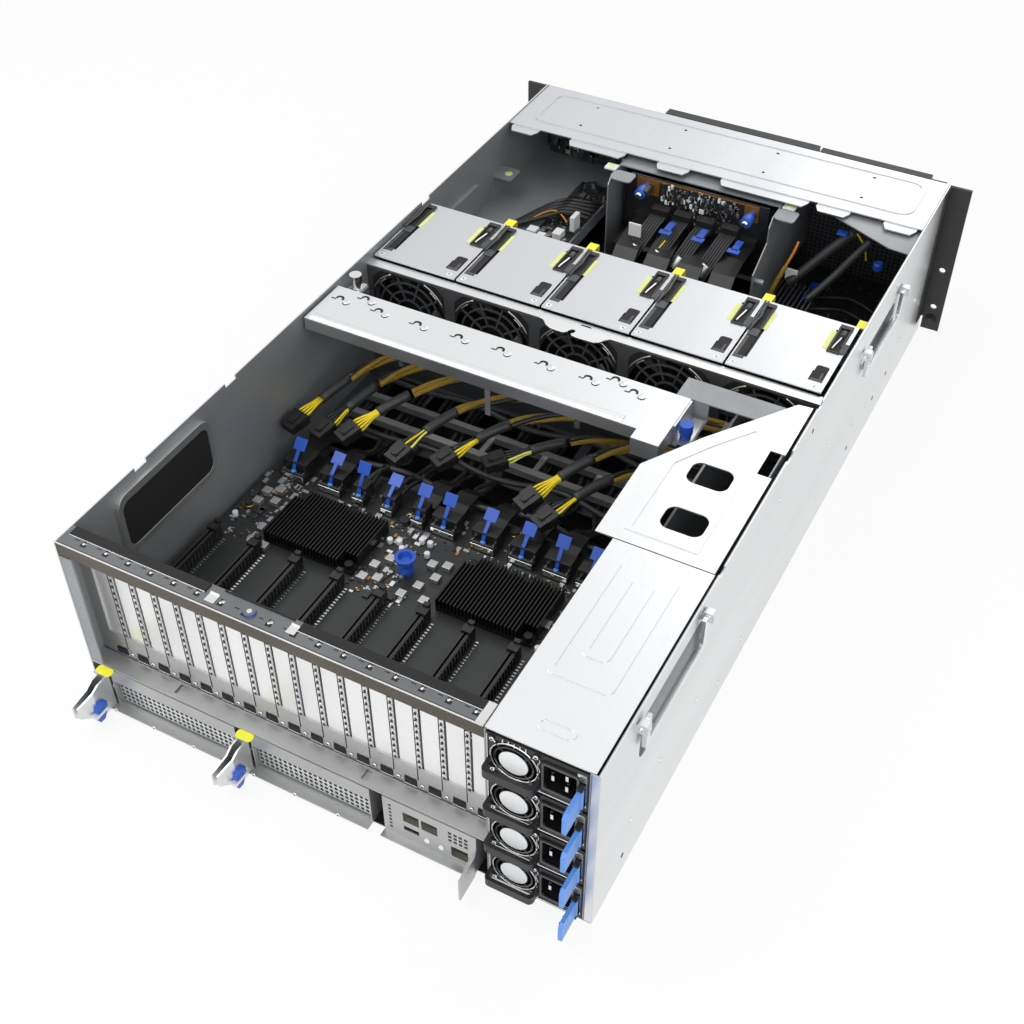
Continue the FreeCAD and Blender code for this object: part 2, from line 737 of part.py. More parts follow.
def gpu_support_bar():
    """Folded bar across the card bay with hook cut-outs and a bent end block."""
    top = block(bar_left, bar_right, bar_rear, bar_front, bar_top - wall, bar_top)
    rib = rear_rib(bar_left + bar_rib_start, bar_right - bar_rib_stop, bar_rear + bar_rib_inset, bar_rib_radius)
    rear_skirt = block(bar_left, bar_right, bar_rear, bar_rear + wall, bar_top - bar_skirt, bar_top - wall)
    front_skirt = block(bar_left, bar_right, bar_front - wall, bar_front, bar_top - bar_skirt, bar_top - wall)
    hooks = []
    y = (bar_rear + bar_front) / 2 + hook_off_middle
    under = bar_top - wall - cutter_over
    for step in range(hook_count):
        x = bar_left + hook_first + step * hook_pitch
        hooks.append(rod(hook_hole_radius, wall + 2 * cutter_over, Vector(x, y, under)))
        hooks.append(block(x, x + hook_slot_length, y - hook_slot_half, y + hook_slot_half, under,
                           bar_top + cutter_over))
    end_rear = bar_rear - bar_end_reach
    end_low = bar_top - bar_end_drop
    end = [block(bar_right, bar_end, end_rear, bar_front, bar_top - wall, bar_top),
           block(bar_right, bar_end, end_rear, end_rear + wall, end_low, bar_top - wall),
           block(bar_end - wall, bar_end, end_rear + wall, bar_front, end_low, bar_top - wall)]
    post = block(bar_post_left, bar_post_left + bar_post_width, bar_rear + wall, bar_rear + wall + bar_post_width,
                 bar_top - bar_post_drop, bar_top - wall)
    tongue_right = bar_left + bar_tongue_width
    tongue_top = bar_top - bar_skirt
    tongue = block(bar_left, tongue_right, bar_front, bar_tongue_front, tongue_top - wall, tongue_top)
    tongue = joined([tongue, block(bar_left, tongue_right, bar_front - wall, bar_front, tongue_top - wall,
                                   tongue_top)])
    tab = joined([block(bar_end, bar_tab_end, bar_tab_rear, bar_front, bar_tab_z, bar_tab_z + wall),
                  block(bar_end, bar_end + wall, bar_tab_rear, bar_front, bar_tab_z, bar_top - wall)])
    bores = []
    for place, z in ((bar_screw_left, bar_top - bar_skirt), (bar_screw_right, bar_tab_z + wall)):
        foot = Vector(place[0], place[1], z - wall - cutter_over)
        bores.append(rod(screw_shank + running, wall + 2 * cutter_over, foot))
    body = joined([less(top, hooks), rib, rear_skirt, front_skirt, post, tongue, tab] + end)
    return [less(body, bores)]


def rear_rib(x0, x1, y, radius):
    """Long half-round rib pressed up along the bar."""
    full = rod(radius, x1 - x0, Vector(x0, y, bar_top - radius + bar_rib_rise), ALONG_X)
    keep = block(x0, x1, y - radius, y + radius, bar_top - bar_rib_seat, bar_top + radius)
    return full.common(keep)


def captive_screw(place, z_plate):
    """Captive screw with a knurled cap: shank through the plate, collar and cap above it."""
    x, y = place
    shank = rod(screw_shank, wall + 9, Vector(x, y, z_plate - wall - 7))
    collar = rod(4.6, 5, Vector(x, y, z_plate + clearance))
    cap = rod(5.6, 9, Vector(x, y, z_plate + clearance + 5))
    return [joined([shank, collar, cap])]


def gpu_tray():
    """Tray over the lower row: rear ledge, floor under the board and a windowed front frame."""
    x1 = cage_left
    plate = block(-inner_x, x1, ledge_y, tray_front_y, lower_row, tray_top)
    windows = []
    for column in range(6):
        x = -200 + column * 55
        for y, length in ((-112, 40), (-62, 40), (-12, 28)):
            windows.append(block(x, x + 46, y, y + length, lower_row - 1, tray_top + 1))
    for x in (-140, 30):
        windows.append(block(x, x + 5, rear_y + 3, rear_y + 12, lower_row - 1, tray_top + 1))
    feet = []
    for x in (board_left + 8, -70, 56, board_right - 8):
        for y in (board_rear + 10, -206, board_front - 8):
            feet.append(rod(3.5, board_top - board_thick - tray_top, Vector(x, y, tray_top)))
    return [less(plate, windows)] + feet


def switch_board():
    """Switch board on its posts."""
    board = block(board_left, board_right, board_rear, board_front, board_top - board_thick, board_top)
    corner = plan([(board_left - 1, board_front + 1), (board_left + 16, board_front + 1),
                   (board_left - 1, board_front - 46)], board_top - board_thick - 1, board_top + 1)
    parts = [board.cut(corner)]
    for x, y in ((-203, -208), (-72, -165), (17, -133)):
        parts.append(rod(4.5, 3.5, Vector(x, y, board_top)))
    return parts


def gpu_slots():
    """Eight card-edge slots with a key gap and a latch end."""
    slots = []
    for step in range(card_slot_count):
        x0 = slot_first_x + step * card_slot_pitch
        y0 = card_slot_rear
        y1 = y0 + card_slot_length
        body = block(x0, x0 + card_slot_width, y0, y1, board_top, board_top + card_slot_height)
        mid = x0 + card_slot_width / 2
        tools = [block(mid - 0.9, mid + 0.9, y0 + 2.5, y0 + 14, board_top + 3, board_top + card_slot_height + 1),
                 block(mid - 0.9, mid + 0.9, y0 + 16, y1 - 2.5, board_top + 3, board_top + card_slot_height + 1)]
        slots.append(less(body, tools))
    return slots


def switch_heatsinks():
    """Two low finned heatsinks on the switch chips, corners cut for their screws."""
    sinks = []
    for x in (-164.0, 2.0):
        body = heat_sink(x, x + sink_width, sink_rear, sink_rear + sink_length, board_top, sink_base, sink_height,
                         sink_fins, sink_fin)
        corners = []
        posts = []
        for cx, cy in ((x + sink_width - 5, sink_rear + 5), (x + 5, sink_rear + sink_length - 5)):
            corners.append(block(cx - 6, cx + 6, cy - 6, cy + 6, board_top + sink_base, board_top + sink_height + 1))
            posts.append(rod(3.6, 5, Vector(cx, cy, board_top + sink_base)))
        sinks.append(joined([less(body, corners)] + posts))
    return sinks


signal_plug_x = (-186.0, -148.0, -119.0, -90.0, -60.0, -35.0, 3.0, 39.0, 71.0, 101.0)
signal_plug_y = -166.0
signal_plug_width = 24.0
signal_plug_depth = 17.0
signal_plug_height = 17.0


def signal_cable_plugs():
    """Cable plugs on the board, each with its pull tab folded up from the top."""
    plugs = []
    for step, x in enumerate(signal_plug_x):
        narrow = step in (2, 3, 4)
        width = 12.0 if narrow else signal_plug_width
        z0 = board_top
        body = block(x - width / 2, x + width / 2, signal_plug_y, signal_plug_y + signal_plug_depth, z0,
                     z0 + signal_plug_height)
        step_cut = block(x - width, x + width, signal_plug_y - 1, signal_plug_y + 5, z0 + 8, z0 + signal_plug_height + 1)
        tab_top = z0 + signal_plug_height
        stem = block(x - 2, x + 2, signal_plug_y + 4, signal_plug_y + 14, tab_top, tab_top + 1)
        head = block(x - 6.5, x + 6.5, signal_plug_y + 14, signal_plug_y + 26, tab_top, tab_top + 1)
        plugs.append(joined([body.cut(step_cut), stem, head]))
    return plugs


def board_guide_knob():
    """Funnel-shaped lift knob on the switch board."""
    x, y = -41.0, -214.0
    profile = [Vector(x, y, board_top), Vector(x + 6.5, y, board_top), Vector(x + 6.5, y, board_top + 3),
               Vector(x + 5, y, board_top + 6), Vector(x + 5, y, board_top + 10), Vector(x + 9, y, board_top + 14),
               Vector(x + 9, y, board_top + 17), Vector(x + 6, y, board_top + 17), Vector(x + 4, y, board_top + 13),
               Vector(x, y, board_top + 13)]
    outline = Part.Face(Part.makePolygon(profile + [profile[0]]))
    return [outline.revolve(Vector(x, y, 0), ALONG_Z, 360)]


# Routes of the eight card power leads, from the header under the duct cover to the plug: each point has its
# place in plan and its height against the support bar's top.
lead_diameter = 9.0
plug_length = 20.0
lead_routes = (
    ((146, 10, -52), (118, 10, -52), (36, 7, -54), (-84, 6, -56), (-148, -12, -58),
     (-186, -58, -63), (-201, -122, -76)),
    ((146, 4, -70), (118, 4, -70), (34, 6, -68), (-76, 5, -69), (-132, -14, -66),
     (-164, -58, -69), (-178, -114, -82)),
    ((146, -6, -44), (118, -6, -44), (44, -9, -45), (-54, -13, -52), (-104, -40, -58),
     (-138, -84, -68), (-151, -112, -77)),
    ((146, -11, -62), (118, -11, -62), (44, -9, -59), (-16, -16, -60), (-66, -46, -64),
     (-90, -84, -70), (-99, -114, -78)),
    ((146, -23, -50), (118, -23, -50), (56, -27, -53), (4, -37, -58), (-36, -68, -64), (-57, -106, -74)),
    ((146, -25, -73), (118, -25, -73), (64, -29, -70), (22, -50, -68), (-14, -92, -73)),
    ((146, -39, -54), (120, -39, -54), (84, -46, -53), (50, -80, -59), (30, -118, -73)),
    ((146, -48, -73), (122, -48, -73), (96, -56, -69), (68, -90, -69), (50, -126, -79)),
)


def route_points(route):
    """Route as points in the server's frame."""
    return [Vector(x, y, bar_top + drop) for x, y, drop in route]


def lead_tube(points, diameter):
    """Round lead along straight runs joined by tangent arcs; prints its smallest radius."""
    share = 0.45
    edges = []
    radii = []
    start = points[0]
    for index in range(1, len(points) - 1):
        corner = points[index]
        before = points[index - 1].sub(corner)
        after = points[index + 1].sub(corner)
        back = min(before.Length, after.Length) * share
        half_turn = (math.pi - before.getAngle(after)) / 2
        radii.append(back / math.tan(half_turn))
        first = corner.add(Vector(before).normalize().multiply(back))
        last = corner.add(Vector(after).normalize().multiply(back))
        inward = Vector(before).normalize().add(Vector(after).normalize()).normalize()
        reach = radii[-1] / math.cos(half_turn) - radii[-1]
        middle = corner.add(inward.multiply(reach))
        edges.append(Part.LineSegment(start, first).toShape())
        edges.append(Part.Arc(first, middle, last).toShape())
        start = last
    edges.append(Part.LineSegment(start, points[-1]).toShape())
    path = Part.Wire(edges)
    heading = points[1].sub(points[0]).normalize()
    circle = Part.Wire([Part.makeCircle(diameter / 2, points[0], heading)])
    tube = path.makePipeShell([circle], True, False)
    expected = math.pi * diameter ** 2 / 4 * path.Length
    print("lead", round(path.Length, 1), "mm, least radius", round(min(radii), 1), "volume ratio",
          round(tube.Volume / expected, 4))
    return tube


def gpu_power_leads():
    """The eight leads."""
    return [lead_tube(route_points(route), lead_diameter) for route in lead_routes]


def gpu_power_plugs():
    """A square plug square to the end of each lead."""
    plugs = []
    for route in lead_routes:
        points = route_points(route)
        end = points[-1]
        heading = end.sub(points[-2]).normalize()
        level = heading.cross(ALONG_Z).normalize()
        upright = level.cross(heading).normalize()
        half_wide, half_high = 8.5, 6.0
        corners = []
        for side, height in ((-1, -1), (1, -1), (1, 1), (-1, 1)):
            corners.append(end.add(Vector(level).multiply(side * half_wide)).add(
                Vector(upright).multiply(height * half_high)))
        plugs.append(prism(corners, Vector(heading).multiply(plug_length)))
    return plugs


ribbon_thick = 1.6


def ribbon(x, width, profile):
    """Flat cable: a band of even thickness that follows a side-view line, extruded across."""
    upper = []
    lower = []
    for index, (y, z) in enumerate(profile):
        low = profile[max(index - 1, 0)]
        high = profile[min(index + 1, len(profile) - 1)]
        run = math.hypot(high[0] - low[0], high[1] - low[1])
        across = (-(high[1] - low[1]) / run * ribbon_thick / 2, (high[0] - low[0]) / run * ribbon_thick / 2)
        upper.append((y + across[0], z + across[1]))
        lower.append((y - across[0], z - across[1]))
    return side_view(upper + lower[::-1], x - width / 2, x + width / 2)


def signal_cables():
    """Flat cables from the board plugs to the tray windows, and from the backplane to the main board."""
    cables = []
    y0 = signal_plug_y + signal_plug_depth + seat
    z0 = board_top + 10
    for x in signal_plug_x:
        if x > 90 or -130 < x < -60:
            continue
        cables.append(ribbon(x, 18.0, ((y0, z0), (y0 + 14, z0 + 2), (y0 + 30, z0), (y0 + 42, z0 - 8),
                                       (y0 + 48, z0 - 18), (y0 + 50, tray_top + 2 * seat))))
    for step in range(4):
        x = bay_left + 38 + step * 34
        y1 = backplane_y - 10
        z1 = socket_low + socket_high / 2
        cables.append(ribbon(x, 24.0, ((y1, z1), (y1 - 24, z1), (y1 - 46, z1 - 6), (y1 - 62, z1 - 20),
                                       (y1 - 72, z1 - 40), (y1 - 76, z1 - 64), (y1 - 76, 24))))
    return cables


# Rear


def rear_top_beam():
    """Beam over the slot covers: face, top flange with screw holes, seal strip and centre bracket."""
    x0, x1 = -inner_x, beam_right
    face = block(x0, x1, rear_y, rear_y + wall, cover_top - beam_face, cover_top)
    flange = block(x0, x1, rear_y + wall, rear_y + beam_depth, cover_top - wall, cover_top)
    tools = []
    for step in range(slot_count):
        x = slot_x(step) + slot_cover_width / 2
        tools.append(block(x - 2, x + 2, rear_y + 8, rear_y + 12, cover_top - wall - 1, cover_top + 1))
    centre_x = -53.0
    cap = ring(4.5, 2.0, 2.0, Vector(centre_x, rear_y + 10, cover_top))
    beam = less(joined([face, flange]), tools)
    inner_lip = block(x0, x1, rear_y + beam_depth - wall, rear_y + beam_depth, cover_top - 9, cover_top - wall)
    return [joined([beam, inner_lip]), cap]


def slot_x(step):
    """Left edge of one slot cover."""
    return slot_first_x + step * slot_pitch


def rear_slot_panel():
    """Frame round the slot windows, standing on the ledge."""
    x0, x1 = -inner_x, cage_left
    top = cover_top - wall
    y0, y1 = slot_panel_y, slot_panel_y + wall
    plate = block(x0, x1, y0, y1, tray_top, top)
    tools = [block(slot_first_x, x1 + 1, y0 - 1, y1 + 1, slot_window_low, top + 1)]
    for step in range(slot_count):
        x = slot_x(step) + 3.5
        tools.append(block(x, x + slot_foot_width + 0.6, y0 - 1, y1 + 1, tray_top + 3, slot_cover_foot + 6))
    return [less(plate, tools)]


def slot_cover(x):
    """Blank cover: bent top, upright face with a column of vents, and a narrower foot."""
    y0 = slot_panel_y + wall
    y1 = y0 + 1.0
    top = cover_top - wall
    face = block(x, x + slot_cover_width, y0, y1, slot_window_low - 6, top)
    foot = block(x + 3.8, x + 3.8 + slot_foot_width, y0, y1, slot_cover_foot, slot_window_low - 6)
    flange = block(x, x + slot_cover_width, y0 - slot_flange, y0, top - 1.0, top)
    vents = []
    for step in range(vent_count):
        z = slot_window_low + 3 + step * vent_pitch
        vents.append(block(x + 14.2, x + 14.2 + vent_size, y0 - 1, y1 + 1, z, z + vent_size))
    return joined([less(face, vents), foot, flange])


def slot_covers():
    """One cover for each slot."""
    return [slot_cover(slot_x(step)) for step in range(slot_count)]


def psu_floor(step):
    """Underside of one power supply, counted from the bottom."""
    return wall + clearance + step * psu_pitch


def bar_landing():
    """Step on the cage for the bar's end tab, its lower plate open to the rear round the captive screw."""
    y0 = bar_front + landing_gap
    y1 = y0 + skin
    z0 = bar_tab_z - wall
    x, y = bar_screw_right
    slot = screw_shank + screw_play
    left, right = bar_end - landing_side, bar_tab_end + 1
    low_rear = bar_tab_rear - 1
    return [block(bar_end - landing_run, cage_right - cage_sheet, y0, bar_tongue_front, landing_z, landing_z + skin),
            block(left, right, y0, y1, bar_tab_z, landing_z),
            block(left, x - slot, low_rear, y1, z0, bar_tab_z),
            block(x + slot, right, low_rear, y1, z0, bar_tab_z),
            block(x - slot, x + slot, y + slot, y1, z0, bar_tab_z)]


def psu_cage():
    """Cage of two walls, three shelves and a bulkhead, the bar's landing, and the power board with its headers."""
    x0, x1 = cage_left, cage_right
    left = block(x0, x0 + cage_sheet, rear_y, psu_cover_front, wall, plate_under)
    right = block(x1 - cage_sheet, x1, rear_y, duct_front, wall, plate_under)
    shelves = []
    for step in range(1, psu_count):
        z1 = psu_floor(step) - clearance
        shelves.append(block(x0 + cage_sheet, x1 - cage_sheet, rear_y + 2, psu_cover_front - skin, z1 - cage_sheet, z1))
    front = block(x0 + cage_sheet, x1 - cage_sheet, psu_cover_front - skin, psu_cover_front, wall, plate_under)
    windows = []
    for step in range(psu_count):
        z = psu_floor(step)
        windows.append(block(x0 + 6, x1 - 6, psu_cover_front - 3, psu_cover_front + 3, z + 5, z + psu_height - 5))
    board = block(power_board_x, power_board_x + 2, -190, 17, wall, power_board_top)
    headers = []
    for route in lead_routes:
        start = route_points(route)[0]
        headers.append(block(start.x, power_board_x, start.y - 6.5, start.y + 6.5, start.z - 5.5, start.z + 5.5))
    return [left, right, less(front, windows)] + shelves + bar_landing() + [board] + headers


def psu_top_cover():
    """Cover over the power supplies with two raised U ribs and an oval."""
    rib = cover_rib
    top = plate_top
    x0, x1 = cage_left, inner_x - 2
    plate = block(x0, x1, rear_y + 1, psu_cover_front, plate_under, top)
    ribs = [u_rib(x0 + 12, x1 - 18, rear_y + 60, psu_cover_front - 22, 5.0, top, rib),
            u_rib(x0 + 26, x1 - 32, rear_y + 84, psu_cover_front - 34, 5.0, top, rib)]
    oval = rounded(block(x0 + 28, x0 + 56, rear_y + 16, rear_y + 27, top, top + rib), 5.0, ALONG_Z)
    core = rounded(block(x0 + 30.5, x0 + 53.5, rear_y + 18.5, rear_y + 24.5, top, top + rib), 2.8, ALONG_Z)
    return [joined([plate, oval.cut(core)] + ribs)]


def u_rib(x0, x1, y0, y1, width, z, high):
    """Raised rib in the shape of a U, open towards the front."""
    outer = rounded(block(x0, x1, y0, y1 + 12, z, z + high), 6.0, ALONG_Z)
    inner = rounded(block(x0 + width, x1 - width, y0 + width, y1 + 14, z, z + high), 3.0, ALONG_Z)
    return outer.cut(inner).common(block(x0 - 1, x1 + 1, y0 - 1, y1, z, z + high))


def duct_cover():
    """Angled cover between the power supplies and the fan wall, with two rounded windows."""
    top = plate_top
    y0 = psu_cover_front + 1.0
    x1 = cage_right + 2
    outline = [(x1, y0), (x1, duct_front), (x1 - 12, duct_front - 1), (x1 - 64, -72), (x1 - 95, -123), (x1 - 94, y0)]
    plate = plan(outline[::-1], plate_under, top)
    windows = []
    for x, y in ((174, -112), (176, -166)):
        windows.append(rounded(block(x - 17, x + 17, y - 12.5, y + 12.5, plate_under - 1, cover_top + 1), 8, ALONG_Z))
    windows.append(block(x1 - 12, x1 + 1, -92, -62, plate_under - 1, cover_top + 1))
    rim_outer = [(x1 - 18, y0 + 12), (x1 - 18, -60), (x1 - 30, -36), (x1 - 56, -74), (x1 - 76, -108),
                 (x1 - 76, y0 + 12)]
    rim_inner = [(x1 - 22, y0 + 16), (x1 - 22, -62), (x1 - 30, -46), (x1 - 53, -78), (x1 - 72, -110),
                 (x1 - 72, y0 + 16)]
    rim = plan(rim_outer, top, cover_top).cut(plan(rim_inner, top, cover_top))
    return [joined([less(plate, windows), rim])]


def psu_guard(centre):
    """Finger guard and four screws on a power supply's face."""
    base = Vector(centre.x, rear_y - skin, centre.z)
    parts = [rod(psu_guard_disc, skin, base, ALONG_Y),
             ring(psu_guard_ring + psu_guard_wire / 2, psu_guard_ring - psu_guard_wire / 2, skin, base, ALONG_Y)]
    for angle in (45, 135, 225, 315):
        bar = block(base.x + psu_guard_disc - 1, base.x + psu_fan_radius + 2, base.y, rear_y,
                    base.z - psu_guard_wire / 2, base.z + psu_guard_wire / 2)
        bar.rotate(base, ALONG_Y, angle)
        parts.append(bar)
    for dx in (-psu_screw_spread, psu_screw_spread):
        for dz in (-psu_screw_spread, psu_screw_spread):
            parts.append(rod(psu_screw_radius, skin, Vector(base.x + dx, base.y, base.z + dz), ALONG_Y))
    return parts


def psu_handle(x0, z0):
    """Low bail across a power supply's fan side."""
    x1 = x0 + psu_handle_wide
    tip = rear_y - psu_handle_out
    bar = psu_handle_bar
    outer = rounded(block(x0, x1, tip, rear_y + 8, z0, z0 + psu_handle_high), 4.0, ALONG_Z)
    inner = rounded(block(x0 + bar, x1 - bar, tip + bar, rear_y + 10, z0 - 1, z0 + psu_handle_high + 1), 2.0, ALONG_Z)
    return outer.cut(inner).common(block(x0 - 1, x1 + 1, tip - 1, rear_y, z0 - 1, z0 + psu_handle_high + 1))


def psu(step):
    """Power supply: case, guarded fan opening, inlet, pull handle, latch lugs and edge connector."""
    z0 = psu_floor(step)
    x0 = psu_left
    y0 = rear_y
    case = block(x0, x0 + psu_width, y0, y0 + psu_length, z0, z0 + psu_height)
    fan = Vector(x0 + psu_fan_x, y0 - 1, z0 + psu_height / 2)
    left = x0 + inlet_left
    low = z0 + inlet_low
    tools = [rod(psu_fan_radius, 9.0, fan, ALONG_Y),
             block(left, left + inlet_width, y0 - 3, y0 + inlet_depth, low, low + inlet_height)]
    parts = [less(case, tools)] + psu_guard(fan)
    frame = rounded(block(left - inlet_rim, left + inlet_width + inlet_rim, y0 - 1.0, y0, low - inlet_rim,
                          low + inlet_height + inlet_rim), 3.0, ALONG_Y)
    parts.append(frame.cut(block(left, left + inlet_width, y0 - 2, y0 + 1, low, low + inlet_height)))
    for dx, dz in ((5.0, 12.0), (16.0, 17.5), (16.0, 6.5)):
        parts.append(block(left + dx - 1, left + dx + 1, y0 + 2, y0 + inlet_depth, low + dz - 3, low + dz + 3))
    parts.append(psu_handle(x0 + 1.0, z0 + psu_handle_low))
    pivot = latch_pivot(step)
    for z in (pivot.z - clearance - latch_lug, pivot.z + latch_high + clearance):
        parts.append(block(pivot.x - latch_lug, pivot.x + latch_lug, y0 - latch_lug_out, y0, z, z + latch_lug))
    parts.append(rod(latch_pin_radius, latch_high + 2 * clearance + 2, Vector(pivot.x, pivot.y, pivot.z - 1)))
    parts.append(block(x0 + 12, x0 + psu_width - 12, y0 + psu_length, y0 + psu_length + 6, z0 + 4, z0 + 7))
    return [joined(parts)]


def latch_pivot(step):
    """Foot of one latch's pivot line."""
    return Vector(psu_left + latch_x, rear_y - latch_stand, psu_floor(step) + latch_low)


def psu_latch(step):
    """Blue release latch: barrel on the pin and a ribbed paddle that stands out behind."""
    pivot = latch_pivot(step)
    tip = rear_y - latch_out
    top = pivot.z + latch_high
    barrel = rod(latch_barrel, latch_high, pivot)
    paddle = block(pivot.x - latch_thick / 2, pivot.x + latch_thick / 2, tip, pivot.y, pivot.z, top)
    chamfer = side_view([(tip - 1, top + 1), (tip - 1, top - 4), (tip + 4, top + 1)], pivot.x - 4, pivot.x + 4)
    grooves = []
    for index in range(3):
        y = tip + 5 + index * 5
        grooves.append(block(pivot.x - latch_thick, pivot.x - latch_thick / 2 + 0.8, y, y + 2, pivot.z + 3, top - 6))
    body = less(joined([barrel, paddle]), [chamfer] + grooves)
    bore = rod(latch_pin_radius + running, latch_high + 2, Vector(pivot.x, pivot.y, pivot.z - 1))
    return [body.cut(bore)]


def module_shell(x0, x1):
    """Sheet-metal box of a lower-row module: floor with a lip, sides, top band and top."""
    z0 = wall + clearance
    z1 = lower_row - 0.6
    y0 = rear_y - 2.0
    t = module_sheet
    floor = block(x0, x1, rear_y - module_floor_out, module_front, z0, z0 + t)
    left = block(x0, x0 + t, y0, module_front, z0 + t, z1)
    right = block(x1 - t, x1, y0, module_front, z0 + t, z1)
    top = block(x0 + t, x1 - t, y0, module_front, z1 - t, z1)
    return floor, left, right, top, z0, z1, y0


def io_module(x0, x1):
    """Lower-row module with a recessed vented face, its lever pin and lugs."""
    floor, left, right, top, z0, z1, y0 = module_shell(x0, x1)
    t = module_sheet
    band = block(x0 + t, x1 - t, y0, y0 + t, z1 - module_band, z1 - t)
    face_y = rear_y + module_face_in
    soffit = block(x0 + t, x1 - t, y0 + t, face_y + t, z1 - module_band, z1 - module_band + t)
    face = block(x0 + t, x1 - t, face_y, face_y + t, z0 + t, z1 - module_band)
    vents = mesh_holes(x0 + 8, x1 - 6, z0 + t + 2, z1 - module_band - 1, 5.0, 7.6, face_y - 1, face_y + t + 1)
    pivot = lever_pivot(x0)
    lugs = [block(pivot.x - 5, x0, pivot.y - 5, pivot.y + 4, z1 - t, z1),
            block(pivot.x - 5, x0, pivot.y - 5, pivot.y + 4, z0, z0 + t)]
    pin = rod(lever_pin_radius, z1 - z0 - 2 * t, Vector(pivot.x, pivot.y, z0 + t))
    return [floor, left, right, top, band, soffit, less(face, vents), pin] + lugs


def lever_pivot(x0):
    """Pivot line of a module's lever, just left of the module."""
    return Vector(x0 - lever_pivot_in - 1.0, rear_y - 4.0, 0)


def io_lever(x0):
    """Cam lever: barrel on the pin, two curved plates and a thumb catch between them."""
    pivot = lever_pivot(x0)
    z0 = wall + clearance + module_sheet + clearance
    z1 = lower_row - 0.6 - module_sheet - clearance
    tip_y = rear_y - lever_out
    barrel = rod(lever_barrel, z1 - z0, Vector(pivot.x, pivot.y, z0))
    plates = []
    for offset, low, high in ((-2.6, 12.0, 0.0), (2.6, 14.0, 3.0)):
        x = pivot.x + offset
        band = plan([(x, pivot.y), (x + lever_plate, pivot.y), (x + lever_plate, tip_y + 14), (x - 3, tip_y),
                     (x - 3 - lever_plate, tip_y), (x, tip_y + 14)], z0, z1)
        shape = side_view([(pivot.y, z0), (pivot.y, z1 - high), (pivot.y - 12, z1 - high), (tip_y, z0 + 26),
                           (tip_y, z0 + low), (pivot.y - 14, z0)], pivot.x - 12, pivot.x + 12)
        plates.append(band.common(shape))
    web = block(pivot.x - 2.6, pivot.x + 2.6 + lever_plate, pivot.y - 9, pivot.y, z0 + 4, z0 + 4 + lever_plate)
    catch = block(pivot.x + 2.6 + lever_plate, pivot.x + 8.6, pivot.y - 26, pivot.y - 8, z0 + 10, z0 + 13)
    body = joined([barrel, web, catch] + plates)
    return [body.cut(rod(lever_pin_radius + running, z1 - z0 + 2, Vector(pivot.x, pivot.y, z0 - 1)))]


def management_module():
    """Management module: face with sockets, vents and button holes, and a fixed pull blade."""
    x0, x1 = manage_span
    floor, left, right, top, z0, z1, y0 = module_shell(x0, x1)
    t = module_sheet
    face = block(x0 + t, x1 - t, y0, y0 + t, z0 + t, z1 - t)
    tools = [block(68, 81.5, y0 - 1, y0 + t + 1, 24, 35), block(83.5, 97, y0 - 1, y0 + t + 1, 24, 35),
             block(108, 122, y0 - 1, y0 + t + 1, 8, 20), block(68, 81, y0 - 1, y0 + t + 1, 13, 18)]
    for x in button_places:
        tools.append(rod(button_radius + 0.3, t + 2, Vector(x, y0 - 1, button_z), ALONG_Y))
    tools.extend(mesh_holes(54.5, 59.5, 8, 38, 2.4, 4.4, y0 - 1, y0 + t + 1))
    tools.extend(mesh_holes(104, 124, 23, 39, 2.8, 4.4, y0 - 1, y0 + t + 1))
    sockets = []
    for sx0, sx1, sz0, sz1 in ((68, 81.5, 24, 35), (83.5, 97, 24, 35), (108, 122, 8, 20)):
        shell = block(sx0 - 1, sx1 + 1, y0 + t, y0 + t + 20, sz0 - 1, sz1 + 1)
        sockets.append(shell.cut(block(sx0, sx1, y0 + t - 1, y0 + t + 15, sz0, sz1)))
    board = block(x0 + t, x1 - t, y0 + t, module_front, z0 + t + 2.0, z0 + t + 3.6)
    mgmt_posts = block(x0 + 20, x1 - 20, y0 + 40, y0 + 60, z0 + t, z0 + t + 2.0)
    backstops = []
    for x in button_places:
        backstops.append(block(x - 3, x + 3, y0 + t + 4, y0 + t + 8, z0 + t + 3.6, button_z + 3))
    blade = plan([(x1 - t, y0), (x1, y0), (x1 + 2, y0 - 6), (x1 + 2.5, y0 - 28), (x1 + 1, y0 - 28), (x1 - t, y0 - 7)],
                 z0 + 4, z1 - 14)
    return [floor, left, right, top, less(face, tools), board, mgmt_posts, blade] + sockets + backstops


def rear_button(x):
    """Push button behind the management face."""
    y0 = rear_y - 2.0
    cap = rod(button_radius, module_sheet + 3.0, Vector(x, y0 - 1.2, button_z), ALONG_Y)
    flange = rod(button_radius + 1.0, 1.0, Vector(x, y0 + module_sheet + 0.1, button_z), ALONG_Y)
    return [joined([cap, flange])]


